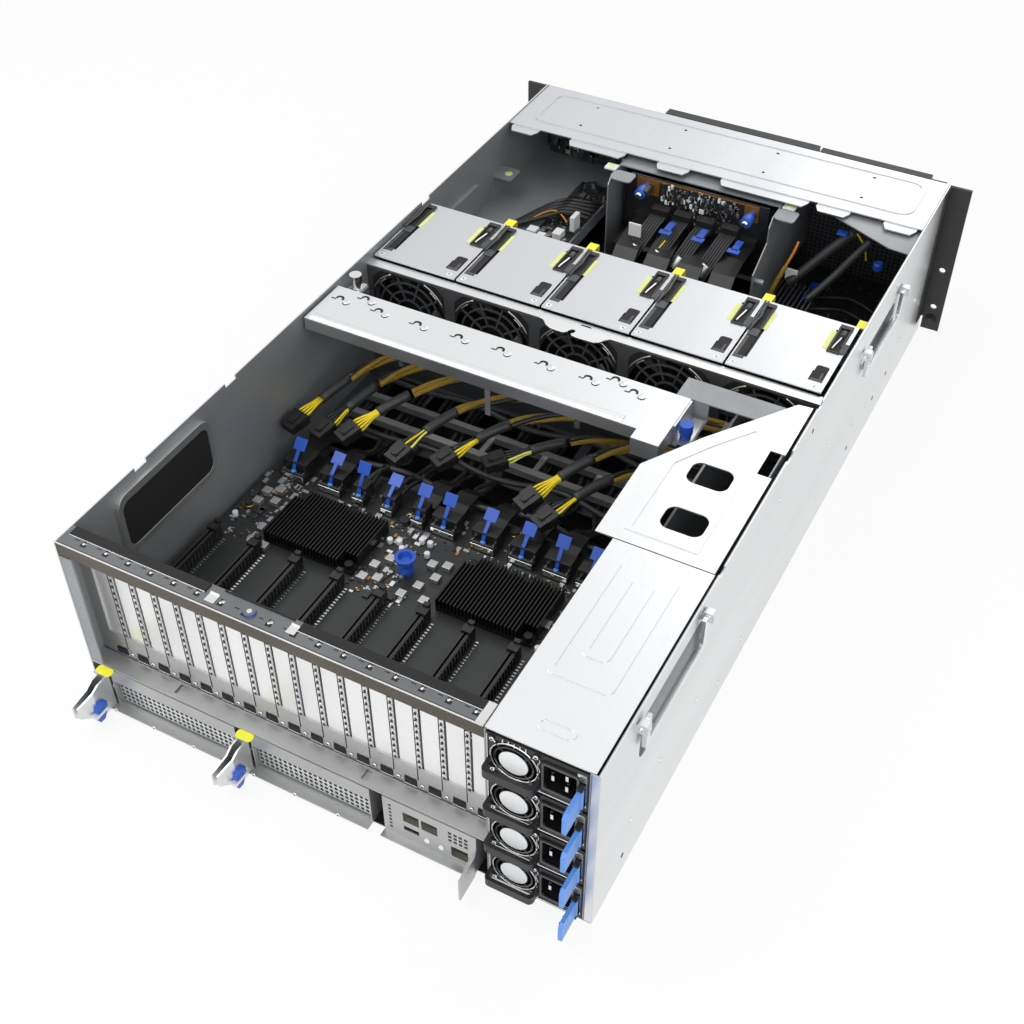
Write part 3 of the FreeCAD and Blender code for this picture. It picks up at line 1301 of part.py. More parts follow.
def build():
    """Make and write every sub-part."""
    os.makedirs("parts", exist_ok=True)
    strip = inner_x - cage_right - clearance
    right_wall = side_wall(((-200, 10, 3), (-62, 14, 4), (8, 12, 3)),
                           ((strip, wall, tray_top - 1.0), (strip, tray_top, plate_under)))
    left_wall = side_wall(((-303, 14, 4), (-187, 14, 4), (127, 14, 4)), ((11.0, tray_top, body_height - 14),))
    save("base_pan", base_pan())
    save("right_side_wall", right_wall)
    save("left_side_wall", [mirrored_x(shape) for shape in left_wall] + bar_shelf())
    save("front_top_cover", front_top_cover())
    save("front_panel", front_panel())
    ear = right_ear()
    save("right_rack_ear", ear)
    save("left_rack_ear", [mirrored_x(shape) for shape in ear])
    save("drive_cage", drive_cage())
    save("drive_backplane", drive_backplane())
    save("drive_carriers", drive_carriers())
    save("motherboard", motherboard())
    save("cpu_heatsinks", cpu_heatsinks())
    save("fan_wall", fan_wall())
    for step in range(fan_count):
        save("fan_module_%d" % (step + 1), fan_module(fan_x(step)))
        save("fan_rotor_%d" % (step + 1), fan_rotor(fan_x(step)))
    save("gpu_support_bar", gpu_support_bar())
    save("support_bar_screw_left", captive_screw(bar_screw_left, bar_top - bar_skirt))
    save("support_bar_screw_right", captive_screw(bar_screw_right, bar_tab_z + wall))
    save("gpu_tray", gpu_tray())
    save("switch_board", switch_board())
    save("gpu_slots", gpu_slots())
    save("switch_heatsinks", switch_heatsinks())
    save("signal_cable_plugs", signal_cable_plugs())
    save("signal_cables", signal_cables())
    save("board_guide_knob", board_guide_knob())
    save("gpu_power_leads", gpu_power_leads())
    save("gpu_power_plugs", gpu_power_plugs())
    save("rear_top_beam", rear_top_beam())
    save("rear_slot_panel", rear_slot_panel())
    save("slot_covers", slot_covers())
    save("psu_cage", psu_cage())
    save("psu_top_cover", psu_top_cover())
    save("duct_cover", duct_cover())
    for step in range(psu_count):
        save("psu_%d" % (step + 1), psu(step))
        save("psu_latch_%d" % (step + 1), psu_latch(step))
    save("io_module_left", io_module(*io_left_span))
    save("io_module_right", io_module(*io_right_span))
    save("io_lever_left", io_lever(io_left_span[0]))
    save("io_lever_right", io_lever(io_right_span[0]))
    save("management_module", management_module())
    for number, x in enumerate(button_places):
        save("rear_button_%d" % (number + 1), rear_button(x))
    handle = lift_handle()
    right_x = half_width + handle_stand
    for name, y, z in (("rear", handle_rear_y, handle_rear_z), ("front", handle_front_y, handle_front_z)):
        placed = moved(handle, right_x, y, z)
        save("lift_handle_right_" + name, [placed])
        save("lift_handle_left_" + name, [mirrored_x(placed)])


build()
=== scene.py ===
"""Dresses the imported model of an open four-unit graphics server and lights it as a studio photograph."""
import json
import logging
import math
from dataclasses import dataclass, field
from enum import Enum
from functools import partial
from typing import Callable, Sequence

import bpy
import numpy as np
from mathutils import Matrix, Vector

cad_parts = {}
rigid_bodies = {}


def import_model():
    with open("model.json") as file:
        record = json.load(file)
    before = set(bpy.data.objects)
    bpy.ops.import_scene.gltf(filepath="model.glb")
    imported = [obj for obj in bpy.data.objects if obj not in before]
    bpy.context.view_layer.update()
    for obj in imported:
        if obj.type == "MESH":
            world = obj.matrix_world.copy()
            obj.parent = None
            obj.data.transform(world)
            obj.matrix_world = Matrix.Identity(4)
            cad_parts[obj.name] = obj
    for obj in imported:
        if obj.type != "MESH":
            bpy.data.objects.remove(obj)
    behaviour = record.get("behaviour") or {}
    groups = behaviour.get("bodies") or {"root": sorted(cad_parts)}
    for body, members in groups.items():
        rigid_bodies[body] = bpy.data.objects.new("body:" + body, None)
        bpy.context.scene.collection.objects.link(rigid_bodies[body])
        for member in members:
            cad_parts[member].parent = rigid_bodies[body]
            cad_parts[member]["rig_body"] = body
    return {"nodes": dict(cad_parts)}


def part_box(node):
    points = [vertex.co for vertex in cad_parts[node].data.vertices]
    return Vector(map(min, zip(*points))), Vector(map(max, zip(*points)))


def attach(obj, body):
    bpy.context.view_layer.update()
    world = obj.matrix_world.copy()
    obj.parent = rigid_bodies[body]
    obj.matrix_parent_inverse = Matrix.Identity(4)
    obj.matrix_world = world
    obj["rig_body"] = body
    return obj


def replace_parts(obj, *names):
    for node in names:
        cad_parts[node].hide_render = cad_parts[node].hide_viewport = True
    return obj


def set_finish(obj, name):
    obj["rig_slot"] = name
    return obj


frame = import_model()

LOG = logging.getLogger("gpu_server")
MM = 0.001
TAU = 2.0 * math.pi
SEED = 41
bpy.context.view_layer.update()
# Main planes of the case, in millimetres: outer side walls, rear face, beam top and switch board top
WALL_X = 220.0
REAR_Y = -400.0
TOP_Z = 175.0
BOARD_Z = 60.0
# Left edges of the rear slots and middles of the cable plugs on the board
SLOT_X = -207.0 + 20.32 * np.arange(17)
PLUG_X = (-186.0, -148.0, -119.0, -90.0, -60.0, -35.0, 3.0, 39.0, 71.0, 101.0)

Points = np.ndarray
Faces = np.ndarray
Value = float | np.ndarray


class Axis(Enum):
    """Direction in which a turned or pushed shape stands."""

    X = 0
    Y = 1
    Z = 2


# Finishes


def linear(code: str) -> tuple[float, float, float, float]:
    """Turn an sRGB hex value into a linear colour.

    Args:
        code: Six hex digits.

    Returns:
        Red, green, blue and alpha in linear light.
    """
    parts = np.array([int(code[i:i + 2], 16) for i in (0, 2, 4)]) / 255.0
    light = np.where(parts <= 0.04045, parts / 12.92, ((parts + 0.055) / 1.055) ** 2.4)
    return (*light.tolist(), 1.0)


def add_node(tree: bpy.types.NodeTree, kind: str, inputs: dict | None = None,
             **settings: object) -> bpy.types.Node:
    """Add a node with its settings, values and links.

    Args:
        tree: Node tree of the material.
        kind: Name of the node type, after the part that all shader nodes share.
        inputs: Socket name or number to a value or to the output socket that feeds it.
        settings: Attributes of the node.

    Returns:
        The new node.
    """
    node = tree.nodes.new("ShaderNode" + kind)
    for name, value in settings.items():
        setattr(node, name, value)
    for name, value in (inputs or {}).items():
        if isinstance(value, bpy.types.NodeSocket):
            tree.links.new(value, node.inputs[name])
        else:
            node.inputs[name].default_value = value
    return node


def compose(name: str, shade: Callable) -> bpy.types.Material:
    """Make a node material.

    Args:
        name: Name of the finish.
        shade: Function that is given a function to add nodes with, adds the finish's and returns the last.

    Returns:
        The material.
    """
    material = bpy.data.materials.new(name)
    material.use_nodes = True
    tree = material.node_tree
    tree.nodes.clear()
    add = partial(add_node, tree)
    add("OutputMaterial", {"Surface": shade(add).outputs[0]})
    return material


@dataclass(frozen=True)
class Finish:
    """A surface worked out from a real material: tone, grain and wear.

    The tone wanders a little over wander_mm, and fine grain of grain_mm roughens it, drawn out along one axis
    where the surface was rolled or brushed.
    """

    name: str
    tone: str
    shade: str
    rough: float
    metal: float = 0.0
    grain_mm: float = 0.6
    wander_mm: float = 60.0
    relief: float = 0.05
    stretch: tuple[float, float, float] = (1.0, 1.0, 1.0)
    rough_swing: float = 0.08

    def shader(self, add: Callable) -> bpy.types.Node:
        """Build the finish's shader.

        Args:
            add: Function that adds a node to the material.

        Returns:
            The last node of the surface.
        """
        where = add("TexCoord")
        drawn = add("Mapping", {"Vector": where.outputs["Object"], "Scale": self.stretch})
        wide, fine = (add("TexNoise", {"Vector": drawn.outputs[0], "Scale": 1 / (mm * MM), "Detail": detail})
                      for mm, detail in ((self.wander_mm, 3.0), (self.grain_mm, 2.0)))
        both = add("Math", {0: wide.outputs[0], 1: fine.outputs[0]}, operation="ADD")
        share = add("MapRange", {"Value": both.outputs[0], "From Min": 0.7, "From Max": 1.3})
        colour = add("Mix", {"Factor": share.outputs[0], "A": linear(self.tone), "B": linear(self.shade)},
                     data_type="RGBA")
        rough = add("MapRange", {"Value": both.outputs[0], "From Min": 0.6, "From Max": 1.4,
                                 "To Min": max(self.rough - self.rough_swing, 0.03),
                                 "To Max": min(self.rough + self.rough_swing, 1.0)})
        bump = add("Bump", {"Height": fine.outputs[0], "Strength": self.relief, "Distance": 0.2 * MM})
        return add("BsdfPrincipled", {"Base Color": colour.outputs[2], "Roughness": rough.outputs[0],
                                      "Normal": bump.outputs[0], "Metallic": self.metal})


@dataclass(frozen=True)
class Split:
    """Two finishes on one pressing: the upper one above a level along an axis, the lower one below it."""

    name: str
    upper: Finish
    lower: Finish
    axis: Axis
    level: float

    def shader(self, add: Callable) -> bpy.types.Node:
        """Mix the two finishes by the place along the axis.

        Args:
            add: Function that adds a node to the material.

        Returns:
            The last node of the surface.
        """
        where = add("TexCoord")
        apart = add("SeparateXYZ", {0: where.outputs["Object"]})
        above = add("Math", {0: apart.outputs[self.axis.value], 1: self.level}, operation="GREATER_THAN")
        return add("MixShader", {0: above.outputs[0], 1: self.lower.shader(add).outputs[0],
                                 2: self.upper.shader(add).outputs[0]})


@dataclass(frozen=True)
class BraidedSleeve:
    """Expanding polyester braid over yellow and black wires: dark crossed strands with gold between them."""

    name: str = "braided polyester sleeve"
    strand: str = "241d0b"
    under: str = "e8bc20"
    strand_mm: float = 0.9
    slant: float = 1.0
    rough: float = 0.5

    def shader(self, add: Callable) -> bpy.types.Node:
        """Cross two bands of waves on the sleeve's own UV map.

        Args:
            add: Function that adds a node to the material.

        Returns:
            The last node of the surface.
        """
        where = add("TexCoord")
        waves = []
        for turn in (self.slant, -self.slant):
            laid = add("Mapping", {"Vector": where.outputs["UV"], "Rotation": (0, 0, turn)})
            waves.append(add("TexWave", {"Vector": laid.outputs[0], "Distortion": 1.2,
                                         "Scale": 0.5 / (self.strand_mm * MM)}))
        weave = add("Math", {0: waves[0].outputs["Fac"], 1: waves[1].outputs["Fac"]},
                    operation="MULTIPLY")
        gap = add("MapRange", {"Value": weave.outputs[0], "From Min": 0.08, "From Max": 0.36})
        colour = add("Mix", {"Factor": gap.outputs[0], "A": linear(self.strand), "B": linear(self.under)},
                     data_type="RGBA")
        bump = add("Bump", {"Height": weave.outputs[0], "Strength": 0.6, "Distance": 0.4 * MM})
        return add("BsdfPrincipled", {"Base Color": colour.outputs[2], "Normal": bump.outputs[0],
                                      "Roughness": self.rough})


@dataclass(frozen=True)
class SolderMask:
    """Black solder mask over copper: dark gloss, with hair-thin tracks a shade lighter."""

    name: str = "black solder mask"
    mask: str = "1c1e1f"
    track: str = "2f3233"
    track_mm: float = 1.6
    field_mm: float = 28.0
    rough: float = 0.38

    def shader(self, add: Callable) -> bpy.types.Node:
        """Run waves along X in some fields of the board and along Y in others: the crests are the tracks.

        Args:
            add: Function that adds a node to the material.

        Returns:
            The last node of the surface.
        """
        where = add("TexCoord")
        area = add("TexVoronoi", {"Vector": where.outputs["Object"], "Scale": 1 / (self.field_mm * MM)})
        runs = []
        for turn in (0.0, math.pi / 2):
            laid = add("Mapping", {"Vector": where.outputs["Object"], "Rotation": (0, 0, turn)})
            runs.append(add("TexWave", {"Vector": laid.outputs[0], "Scale": 0.31 / (self.track_mm * MM)}))
        first = add("Math", {0: area.outputs["Color"], 1: 0.5}, operation="GREATER_THAN")
        pick = add("Mix", {0: first.outputs[0], 2: runs[0].outputs["Fac"], 3: runs[1].outputs["Fac"]})
        line = add("MapRange", {"Value": pick.outputs[0], "From Min": 0.7, "From Max": 0.95})
        colour = add("Mix", {"Factor": line.outputs[0], "A": linear(self.mask), "B": linear(self.track)},
                     data_type="RGBA")
        return add("BsdfPrincipled", {"Base Color": colour.outputs[2], "Roughness": self.rough})


# Zinc-plated sheet: cool, almost white, satin, with the faint long grain of rolling
ZINC = Finish("zinc plated sheet steel", "e2e3e4", "d6d8d9", 0.36, metal=1.0, grain_mm=0.5,
              stretch=(1, 0.15, 1), relief=0.03)
# Lids in the open light: the same plating, toned a shade greyer as painted shade
LID = Finish("zinc plated lid steel", "cdcfd1", "c4c6c9", 0.42, metal=1.0, grain_mm=0.5, stretch=(1, 0.15, 1),
             relief=0.03)
# Inner walls: the same sheet, its tone darkened as painted shade, dulled and blurred, that only mirrors the
# dark inside
SHADED_GALVANISED = Finish("galvanised chassis steel in painted shade", "9fa2a5", "8d9093", 0.5, metal=0.5, grain_mm=0.9, relief=0.05)
# Bulkhead and tray: the inner sheet darkened as painted shade, flat between the black parts
SHADED_SHEET = Finish("inner sheet in painted shade", "5d6064", "4e5155", 0.56, metal=0.6, grain_mm=0.9, relief=0.05)
# Rear sheet: nickel grey
REAR = Finish("passivated rear steel", "bcbdbc", "acadac", 0.42, metal=0.85, grain_mm=0.5)
# Beam top: darker still, the cards' clamping rail
RAIL = Finish("darkened rail steel", "77797b", "66686a", 0.42, metal=0.9, grain_mm=0.6)
# Slot covers: the brightest sheet of the rear, almost white
COVER = Finish("bright slot cover steel", "f2f2f2", "e6e6e6", 0.34, metal=0.8, grain_mm=0.5,
               stretch=(1, 1, 0.15))
# Rolled edge of the beam: a warm brown band
BRONZE = Finish("oil darkened steel edge", "5f5a50", "4f4a41", 0.36, metal=0.8, grain_mm=0.6)
# Powder coat: near black, fine orange peel
POWDER = Finish("black powder coat", "1b1b1d", "232325", 0.5, grain_mm=1.1, relief=0.25)
# Moulded nylon: black, soft sheen, spark-eroded grain
NYLON = Finish("moulded black nylon", "111112", "19191b", 0.42, grain_mm=0.5, relief=0.15)
# Grey nylon: worn edges of inlet frames, springs and small levers
PEWTER = Finish("grey moulded rim", "4c4d4e", "404142", 0.45, grain_mm=0.5, relief=0.1)
# Touch points: glossy blue polycarbonate
POLYCARBONATE = Finish("blue polycarbonate", "1f4fb4", "2759c2", 0.32, relief=0.03)
PALE_POLYCARBONATE = Finish("light blue polycarbonate", "4a84d6", "5c95e2", 0.34, relief=0.03)
# Films and mouldings that mark the touch points
MYLAR = Finish("yellow polyester film", "f0ee28", "f8f54a", 0.38, relief=0.02)
LIME_MYLAR = Finish("lime polyester film", "dde58c", "e6ee96", 0.45, relief=0.02)
ABS = Finish("moulded white ABS", "eceeef", "e2e5e6", 0.38, relief=0.04)
# Screws, pins and springs: the sharpest mirrors of the object
NICKEL = Finish("bright nickel plating", "e8e8e8", "d2d3d5", 0.2, metal=1.0, grain_mm=0.4)
COPPER = Finish("bare copper pad", "c08a4a", "b07a3c", 0.4, metal=0.8)
GOLD = Finish("gold plated contact", "e0b95a", "cda648", 0.28, metal=1.0)
# Wires: soft shine of PVC in the colours of the bundle
PVC_YELLOW = Finish("yellow PVC wire", "f4dc1c", "e8cc12", 0.4, relief=0.02, grain_mm=2.0)
PVC_PALE = Finish("pale yellow PVC wire", "e6ea7c", "dde26c", 0.4, relief=0.02, grain_mm=2.0)
PVC_ORANGE = Finish("orange PVC wire", "d98a1c", "c87c14", 0.4, relief=0.02, grain_mm=2.0)
# Heat-shrink: matt black skin with the ghost of the wires under it
SHRINK = Finish("black heat shrink", "242527", "303133", 0.5, grain_mm=3.0, relief=0.12,
                stretch=(0.4, 0.4, 1))
FOAM = Finish("black cellular foam", "181818", "222222", 0.9, grain_mm=0.5, relief=0.6)
CHIP = Finish("epoxy chip housing", "2a2b2d", "333436", 0.5, grain_mm=0.4)
# Painted shade: near black for holes, gaps, recesses and pockets where only shade falls; also some black pads
# and parts
SHADOW = Finish("near black parts and painted shade of recesses", "060606", "0a0a0a", 0.7)
ANODISED = Finish("black anodised aluminium", "121213", "1b1b1d", 0.36, metal=0.5, grain_mm=0.5,
                  stretch=(1, 0.1, 1))
ALUMINIUM = Finish("extruded aluminium", "d8dadc", "c6c9cb", 0.34, metal=1.0, stretch=(1, 0.1, 1))
BRAID = BraidedSleeve()
MASK = SolderMask()
# Pressings that change finish at a fold or a face; several change to painted shade
FAN_BODY = Split("fan tray steel over nylon", LID, NYLON, Axis.Z, 166.9 * MM)
# The bulkhead's plate below the ledge is painted shade; the ledge top stays bright zinc
FAN_WALL = Split("bulkhead in painted shade under a bright ledge", ZINC, SHADED_SHEET, Axis.Z, 163.4 * MM)
# The pan's inside and its partitions are painted shade, near black above the floor line; the underside stays
# galvanised sheet
PAN = Split("pan in painted shade above its underside", SHADOW, SHADED_GALVANISED, Axis.Z, 1.2 * MM)
SUPPLY = Split("supply case with a black face", ZINC, NYLON, Axis.Y, -378.0 * MM)
# The tray inside the ledge is painted shade; the ledge at the rear keeps the rear steel
TRAY = Split("ledge steel before the tray in painted shade", SHADED_SHEET, REAR, Axis.Y, -386.0 * MM)
BEAM = Split("beam sheet with a browned rear fold", RAIL, BRONZE, Axis.Y, -399.4 * MM)
# Inner faces of the side walls: the sheet in painted shade; the outer faces stay bright zinc
LEFT_WALL = Split("left wall in painted shade inside", SHADED_GALVANISED, ZINC, Axis.X, -218.9 * MM)
RIGHT_WALL = Split("right wall in painted shade inside", ZINC, SHADED_GALVANISED, Axis.X, 219.2 * MM)


class Look(Enum):
    """Finishes that a piece's faces may name, in the order of its material slots."""

    STEEL = ZINC
    BLACK = NYLON
    BLUE = POLYCARBONATE
    YELLOW = MYLAR
    WHITE = ABS
    SILVER = NICKEL
    COPPER = COPPER
    GOLD = GOLD
    WIRE = PVC_YELLOW
    SLEEVE = BRAID
    FOAM = FOAM
    CHIP = CHIP
    PALE_BLUE = PALE_POLYCARBONATE
    DARK = SHADOW
    LIME = LIME_MYLAR
    BOARD = MASK
    GREY = REAR
    SHRINK = SHRINK
    PALE_WIRE = PVC_PALE
    ORANGE = PVC_ORANGE
    SHEET = SHADED_SHEET
    PEWTER = PEWTER


LOOKS = list(Look)


class Shop:
    """Builds each finish once and hands out the materials."""

    def __init__(self) -> None:
        """Start with no materials."""
        self.made: dict[str, bpy.types.Material] = {}

    def material(self, finish: object) -> bpy.types.Material:
        """Return the material of a finish, made on first use."""
        if finish.name not in self.made:
            self.made[finish.name] = compose(finish.name, finish.shader)
        return self.made[finish.name]

    def dress(self, finish: object, *nodes: str) -> None:
        """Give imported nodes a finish.

        Args:
            finish: The finish that covers them.
            nodes: Names of the nodes.
        """
        for node in nodes:
            data = frame["nodes"][node].data
            data.materials.clear()
            data.materials.append(self.material(finish))


SHOP = Shop()


# Shapes


def stand(points: Points, axis: Axis) -> Points:
    """Turn points whose third column is height so that height runs along an axis.

    Args:
        points: Array of points with the height last.
        axis: Axis that the height follows.

    Returns:
        The turned points. The order stays right-handed.
    """
    turns = {Axis.Z: (0, 1, 2), Axis.X: (2, 0, 1), Axis.Y: (1, 2, 0)}
    return points[..., turns[axis]]


def at(*columns: Value) -> Points:
    """Rows from columns, in which one value may stand for a whole column."""
    return np.column_stack(np.broadcast_arrays(*columns))


def sleeve(rings: int, sides: int) -> Faces:
    """Number the walls between successive rings of points.

    Args:
        rings: Count of rings.
        sides: Points on a ring.

    Returns:
        Quads of shape ((rings - 1) * sides, 4).
    """
    step, turn = np.arange(rings - 1)[:, None] * sides, np.arange(sides)
    after = (turn + 1) % sides
    return np.stack([step + turn, step + after, step + sides + after, step + sides + turn],
                    axis=-1).reshape(-1, 4)


def lengths(path: Points) -> Points:
    """Return the length run from the path's start to each of its points."""
    return np.concatenate([[0], np.cumsum(np.linalg.norm(np.diff(path, axis=0), axis=1))])


def frames(path: Points, up: Sequence) -> tuple[Points, Points, Points]:
    """Set a frame at each point of a path.

    Args:
        path: Points of shape (n, 3).
        up: Direction that is never along the path.

    Returns:
        Unit vectors along the path, across it, and square to both.
    """
    along = np.gradient(path, axis=0)
    along /= np.linalg.norm(along, axis=1, keepdims=True)
    across = np.cross(along, np.array(up, float))
    across /= np.linalg.norm(across, axis=1, keepdims=True)
    return along, across, np.cross(across, along)


@dataclass
class Patch:
    """A mesh under construction, in millimetres from its origin, with one look for each face."""

    name: str
    origin: Sequence = (0.0, 0.0, 0.0)
    points: list = field(default_factory=list)
    faces: list = field(default_factory=list)
    looks: list = field(default_factory=list)
    smooth: list = field(default_factory=list)
    maps: list = field(default_factory=list)
    count: int = 0

    def add(self, points: Points, faces: Faces, look: Look, smooth: bool = False,
            uv: Points | None = None) -> None:
        """Add a block of points and equal-sided faces.

        Args:
            points: Array of shape (n, 3) in millimetres.
            faces: Array of shape (m, sides) of indices into points.
            look: Finish of these faces.
            smooth: Whether the faces shade smoothly.
            uv: Optional array of shape (n, 2) for patterns that follow the surface.
        """
        points = points.reshape(-1, 3) + self.origin
        self.points.append(points)
        self.maps.append(np.zeros((len(points), 2)) if uv is None else uv.reshape(-1, 2))
        self.faces.append(faces + self.count)
        self.looks.append(np.full(len(faces), LOOKS.index(look)))
        self.smooth.append(np.full(len(faces), smooth))
        self.count += len(points)

    def cap(self, faces: Faces, look: Look) -> None:
        """Add flat faces on the points of the block that was added last."""
        self.faces.append(faces)
        self.looks.append(np.full(len(faces), LOOKS.index(look)))
        self.smooth.append(np.full(len(faces), False))

    def bricks(self, low: Sequence, high: Sequence, look: Look) -> None:
        """Add boxes: every corner is a choice of the low or the high value on each axis.

        Args:
            low: Low corners, shape (n, 3) or (3,).
            high: High corners, the same shape.
            look: Finish.
        """
        low, high = np.atleast_2d(np.array(low, float)), np.atleast_2d(np.array(high, float))
        foot = np.array([[0, 0, 0], [1, 0, 0], [1, 1, 0], [0, 1, 0]])
        pick = np.vstack([foot, foot + (0, 0, 1)])
        points = low[:, None] * (1 - pick) + high[:, None] * pick
        sides = np.array([[3, 2, 1, 0], [4, 5, 6, 7], [0, 1, 5, 4], [1, 2, 6, 5], [2, 3, 7, 6], [3, 0, 4, 7]])
        faces = sides[None] + 8 * np.arange(len(low))[:, None, None]
        self.add(points, faces.reshape(-1, 4), look)

    def boxes(self, rows: Sequence, look: Look) -> None:
        """Add boxes from rows, or one row, of low x, high x, low y, high y, low z and high z."""
        rows = np.atleast_2d(np.array(rows, float))
        self.bricks(rows[:, 0::2], rows[:, 1::2], look)

    def row(self, x0: Value, x1: Value, y0: Value, y1: Value, z0: Value, z1: Value, look: Look) -> None:
        """Add boxes side by side: each edge is one value for all of them or an array with one for each."""
        self.boxes(at(x0, x1, y0, y1, z0, z1), look)

    def framed(self, outer: Points, inner: Points, low: float, high: float, look: Look,
               axis: Axis = Axis.Z) -> None:
        """Add a prism with a hole: walls along both outlines, joined by flat faces between matching points.

        Args:
            outer: Outer outline of shape (k, 2), anticlockwise.
            inner: Inner outline with as many points.
            low: Height of the foot.
            high: Height of the top.
            look: Finish.
            axis: Axis of the push.
        """
        size = len(outer)
        flat = np.stack([at(*np.vstack([outer, inner]).T, z) for z in (low, high)])
        turn = np.arange(size)
        after = (turn + 1) % size
        top = 2 * size
        walls = np.concatenate([
            np.stack([turn, after, after + top, turn + top], axis=-1),
            np.stack([after, turn, turn + top, after + top], axis=-1) + size,
            np.stack([top + turn, top + after, top + size + after, top + size + turn], axis=-1),
            np.stack([size + turn, size + after, after, turn], axis=-1)])
        self.add(stand(flat, axis), walls, look)

    def cable(self, points: Sequence, radius: float, look: Look, steps: int = 28, sides: int = 10) -> None:
        """Add a round cable along the smooth path of its control points.

        Args:
            points: Control points, shape (n, 3).
            radius: Radius.
            look: Finish.
            steps: Points on the path.
            sides: Corners of the circle.
        """
        self.tube(smooth_path(np.array(points, float), steps), radius, look, sides, up=(0.31, 0.17, 0.93))

    def screws(self, centres: Sequence, radius: float, axis: Axis = Axis.Z, sign: int = 1,
               look: Look = Look.SILVER) -> None:
        """Add pan-head screws with painted shade in the cross recess.

        Args:
            centres: Foot of each head, shape (n, 3) or (3,).
            radius: Radius of a head.
            axis: Axis of the heads.
            sign: 1 to stand along the axis, -1 to stand against it.
            look: Finish.
        """
        head = np.array([(1.0, 0.0), (1.0, 0.18), (0.82, 0.4), (0.34, 0.46), (0.3, 0.3),
                         (0.04, 0.28)]) * radius
        centres = np.atleast_2d(np.array(centres, float))
        self.turned(head, centres, look, axis, 18, sign=sign)
        lift = np.zeros(3)
        lift[axis.value] = sign * radius * 0.42
        half = np.full(3, 0.3 * radius)
        half[axis.value] = 0.06 * radius
        self.bricks(centres + lift - half, centres + lift + half, Look.DARK)

    def turned(self, profile: Sequence, centres: Sequence, look: Look, axis: Axis = Axis.Z, sides: int = 24,
               smooth: bool = True, sign: int = 1) -> None:
        """Add turned shapes: each profile point (radius, height) sweeps a circle about the axis.

        Args:
            profile: Radius and height pairs from one end to the other.
            centres: Foot of each shape, shape (n, 3).
            look: Finish.
            axis: Axis of the turning.
            sides: Corners of the circle.
            smooth: Whether the walls shade smoothly.
            sign: 1 to stand along the axis, -1 to stand against it.
        """
        profile = (np.array(profile, float) * (1, sign))[::sign]
        centres = np.atleast_2d(np.array(centres, float))
        angle = np.arange(sides) * TAU / sides
        ringed = np.stack([profile[:, :1] * np.cos(angle), profile[:, :1] * np.sin(angle),
                           np.repeat(profile[:, 1:], sides, axis=1)], axis=-1)
        shape = stand(ringed, axis)
        points = shape[None] + centres[:, None, None]
        each = np.arange(len(centres))[:, None, None] * len(profile) * sides
        ends = np.stack([np.arange(sides)[::-1], (len(profile) - 1) * sides + np.arange(sides)])
        caps = (ends[None] + each).reshape(-1, sides) + self.count
        self.add(points, (sleeve(len(profile), sides)[None] + each).reshape(-1, 4), look, smooth)
        self.cap(caps, look)

    def pushed(self, outline: Sequence, low: float, high: float, look: Look, axis: Axis = Axis.Z) -> None:
        """Add a prism: the outline at two heights, joined by walls.

        Args:
            outline: Points of shape (k, 2), anticlockwise seen against the axis.
            low: Height of the foot.
            high: Height of the top.
            look: Finish.
            axis: Axis of the push.
        """
        outline = np.array(outline, float)
        area = np.sum(outline[:, 0] * np.roll(outline[:, 1], -1) - np.roll(outline[:, 0], -1) * outline[:, 1])
        outline = outline if area > 0 else outline[::-1]
        size, base = len(outline), self.count
        flat = np.stack([at(*outline.T, z) for z in (low, high)])
        self.add(stand(flat, axis), sleeve(2, size), look)
        self.cap(base + np.stack([np.arange(size)[::-1], size + np.arange(size)]), look)

    def tube(self, path: Points, radius: float, look: Look, sides: int = 10,
             up: Sequence = (0, 0, 1)) -> None:
        """Add a round tube: circles square to the path, in the frame of its tangent and an up direction.

        Args:
            path: Points of shape (n, 3).
            radius: Radius.
            look: Finish.
            sides: Corners of the circle.
            up: Direction that is never along the path.
        """
        path = np.array(path, float)
        _, across, over = frames(path, up)
        angle = np.arange(sides) * TAU / sides
        radius = np.broadcast_to(np.array(radius, float), (len(path),))[:, None, None]
        points = path[:, None] + radius * (across[:, None] * np.cos(angle)[:, None]
                                           + over[:, None] * np.sin(angle)[:, None])
        wrap = angle * float(radius.mean())
        uv = np.stack(np.broadcast_arrays(lengths(path)[:, None] * MM, wrap[None] * MM), axis=-1)
        turn, base = np.arange(sides), self.count
        self.add(points, sleeve(len(path), sides)[:, [0, 3, 2, 1]], look, True, uv)
        self.cap(base + np.stack([turn, (len(path) - 1) * sides + turn[::-1]]), look)

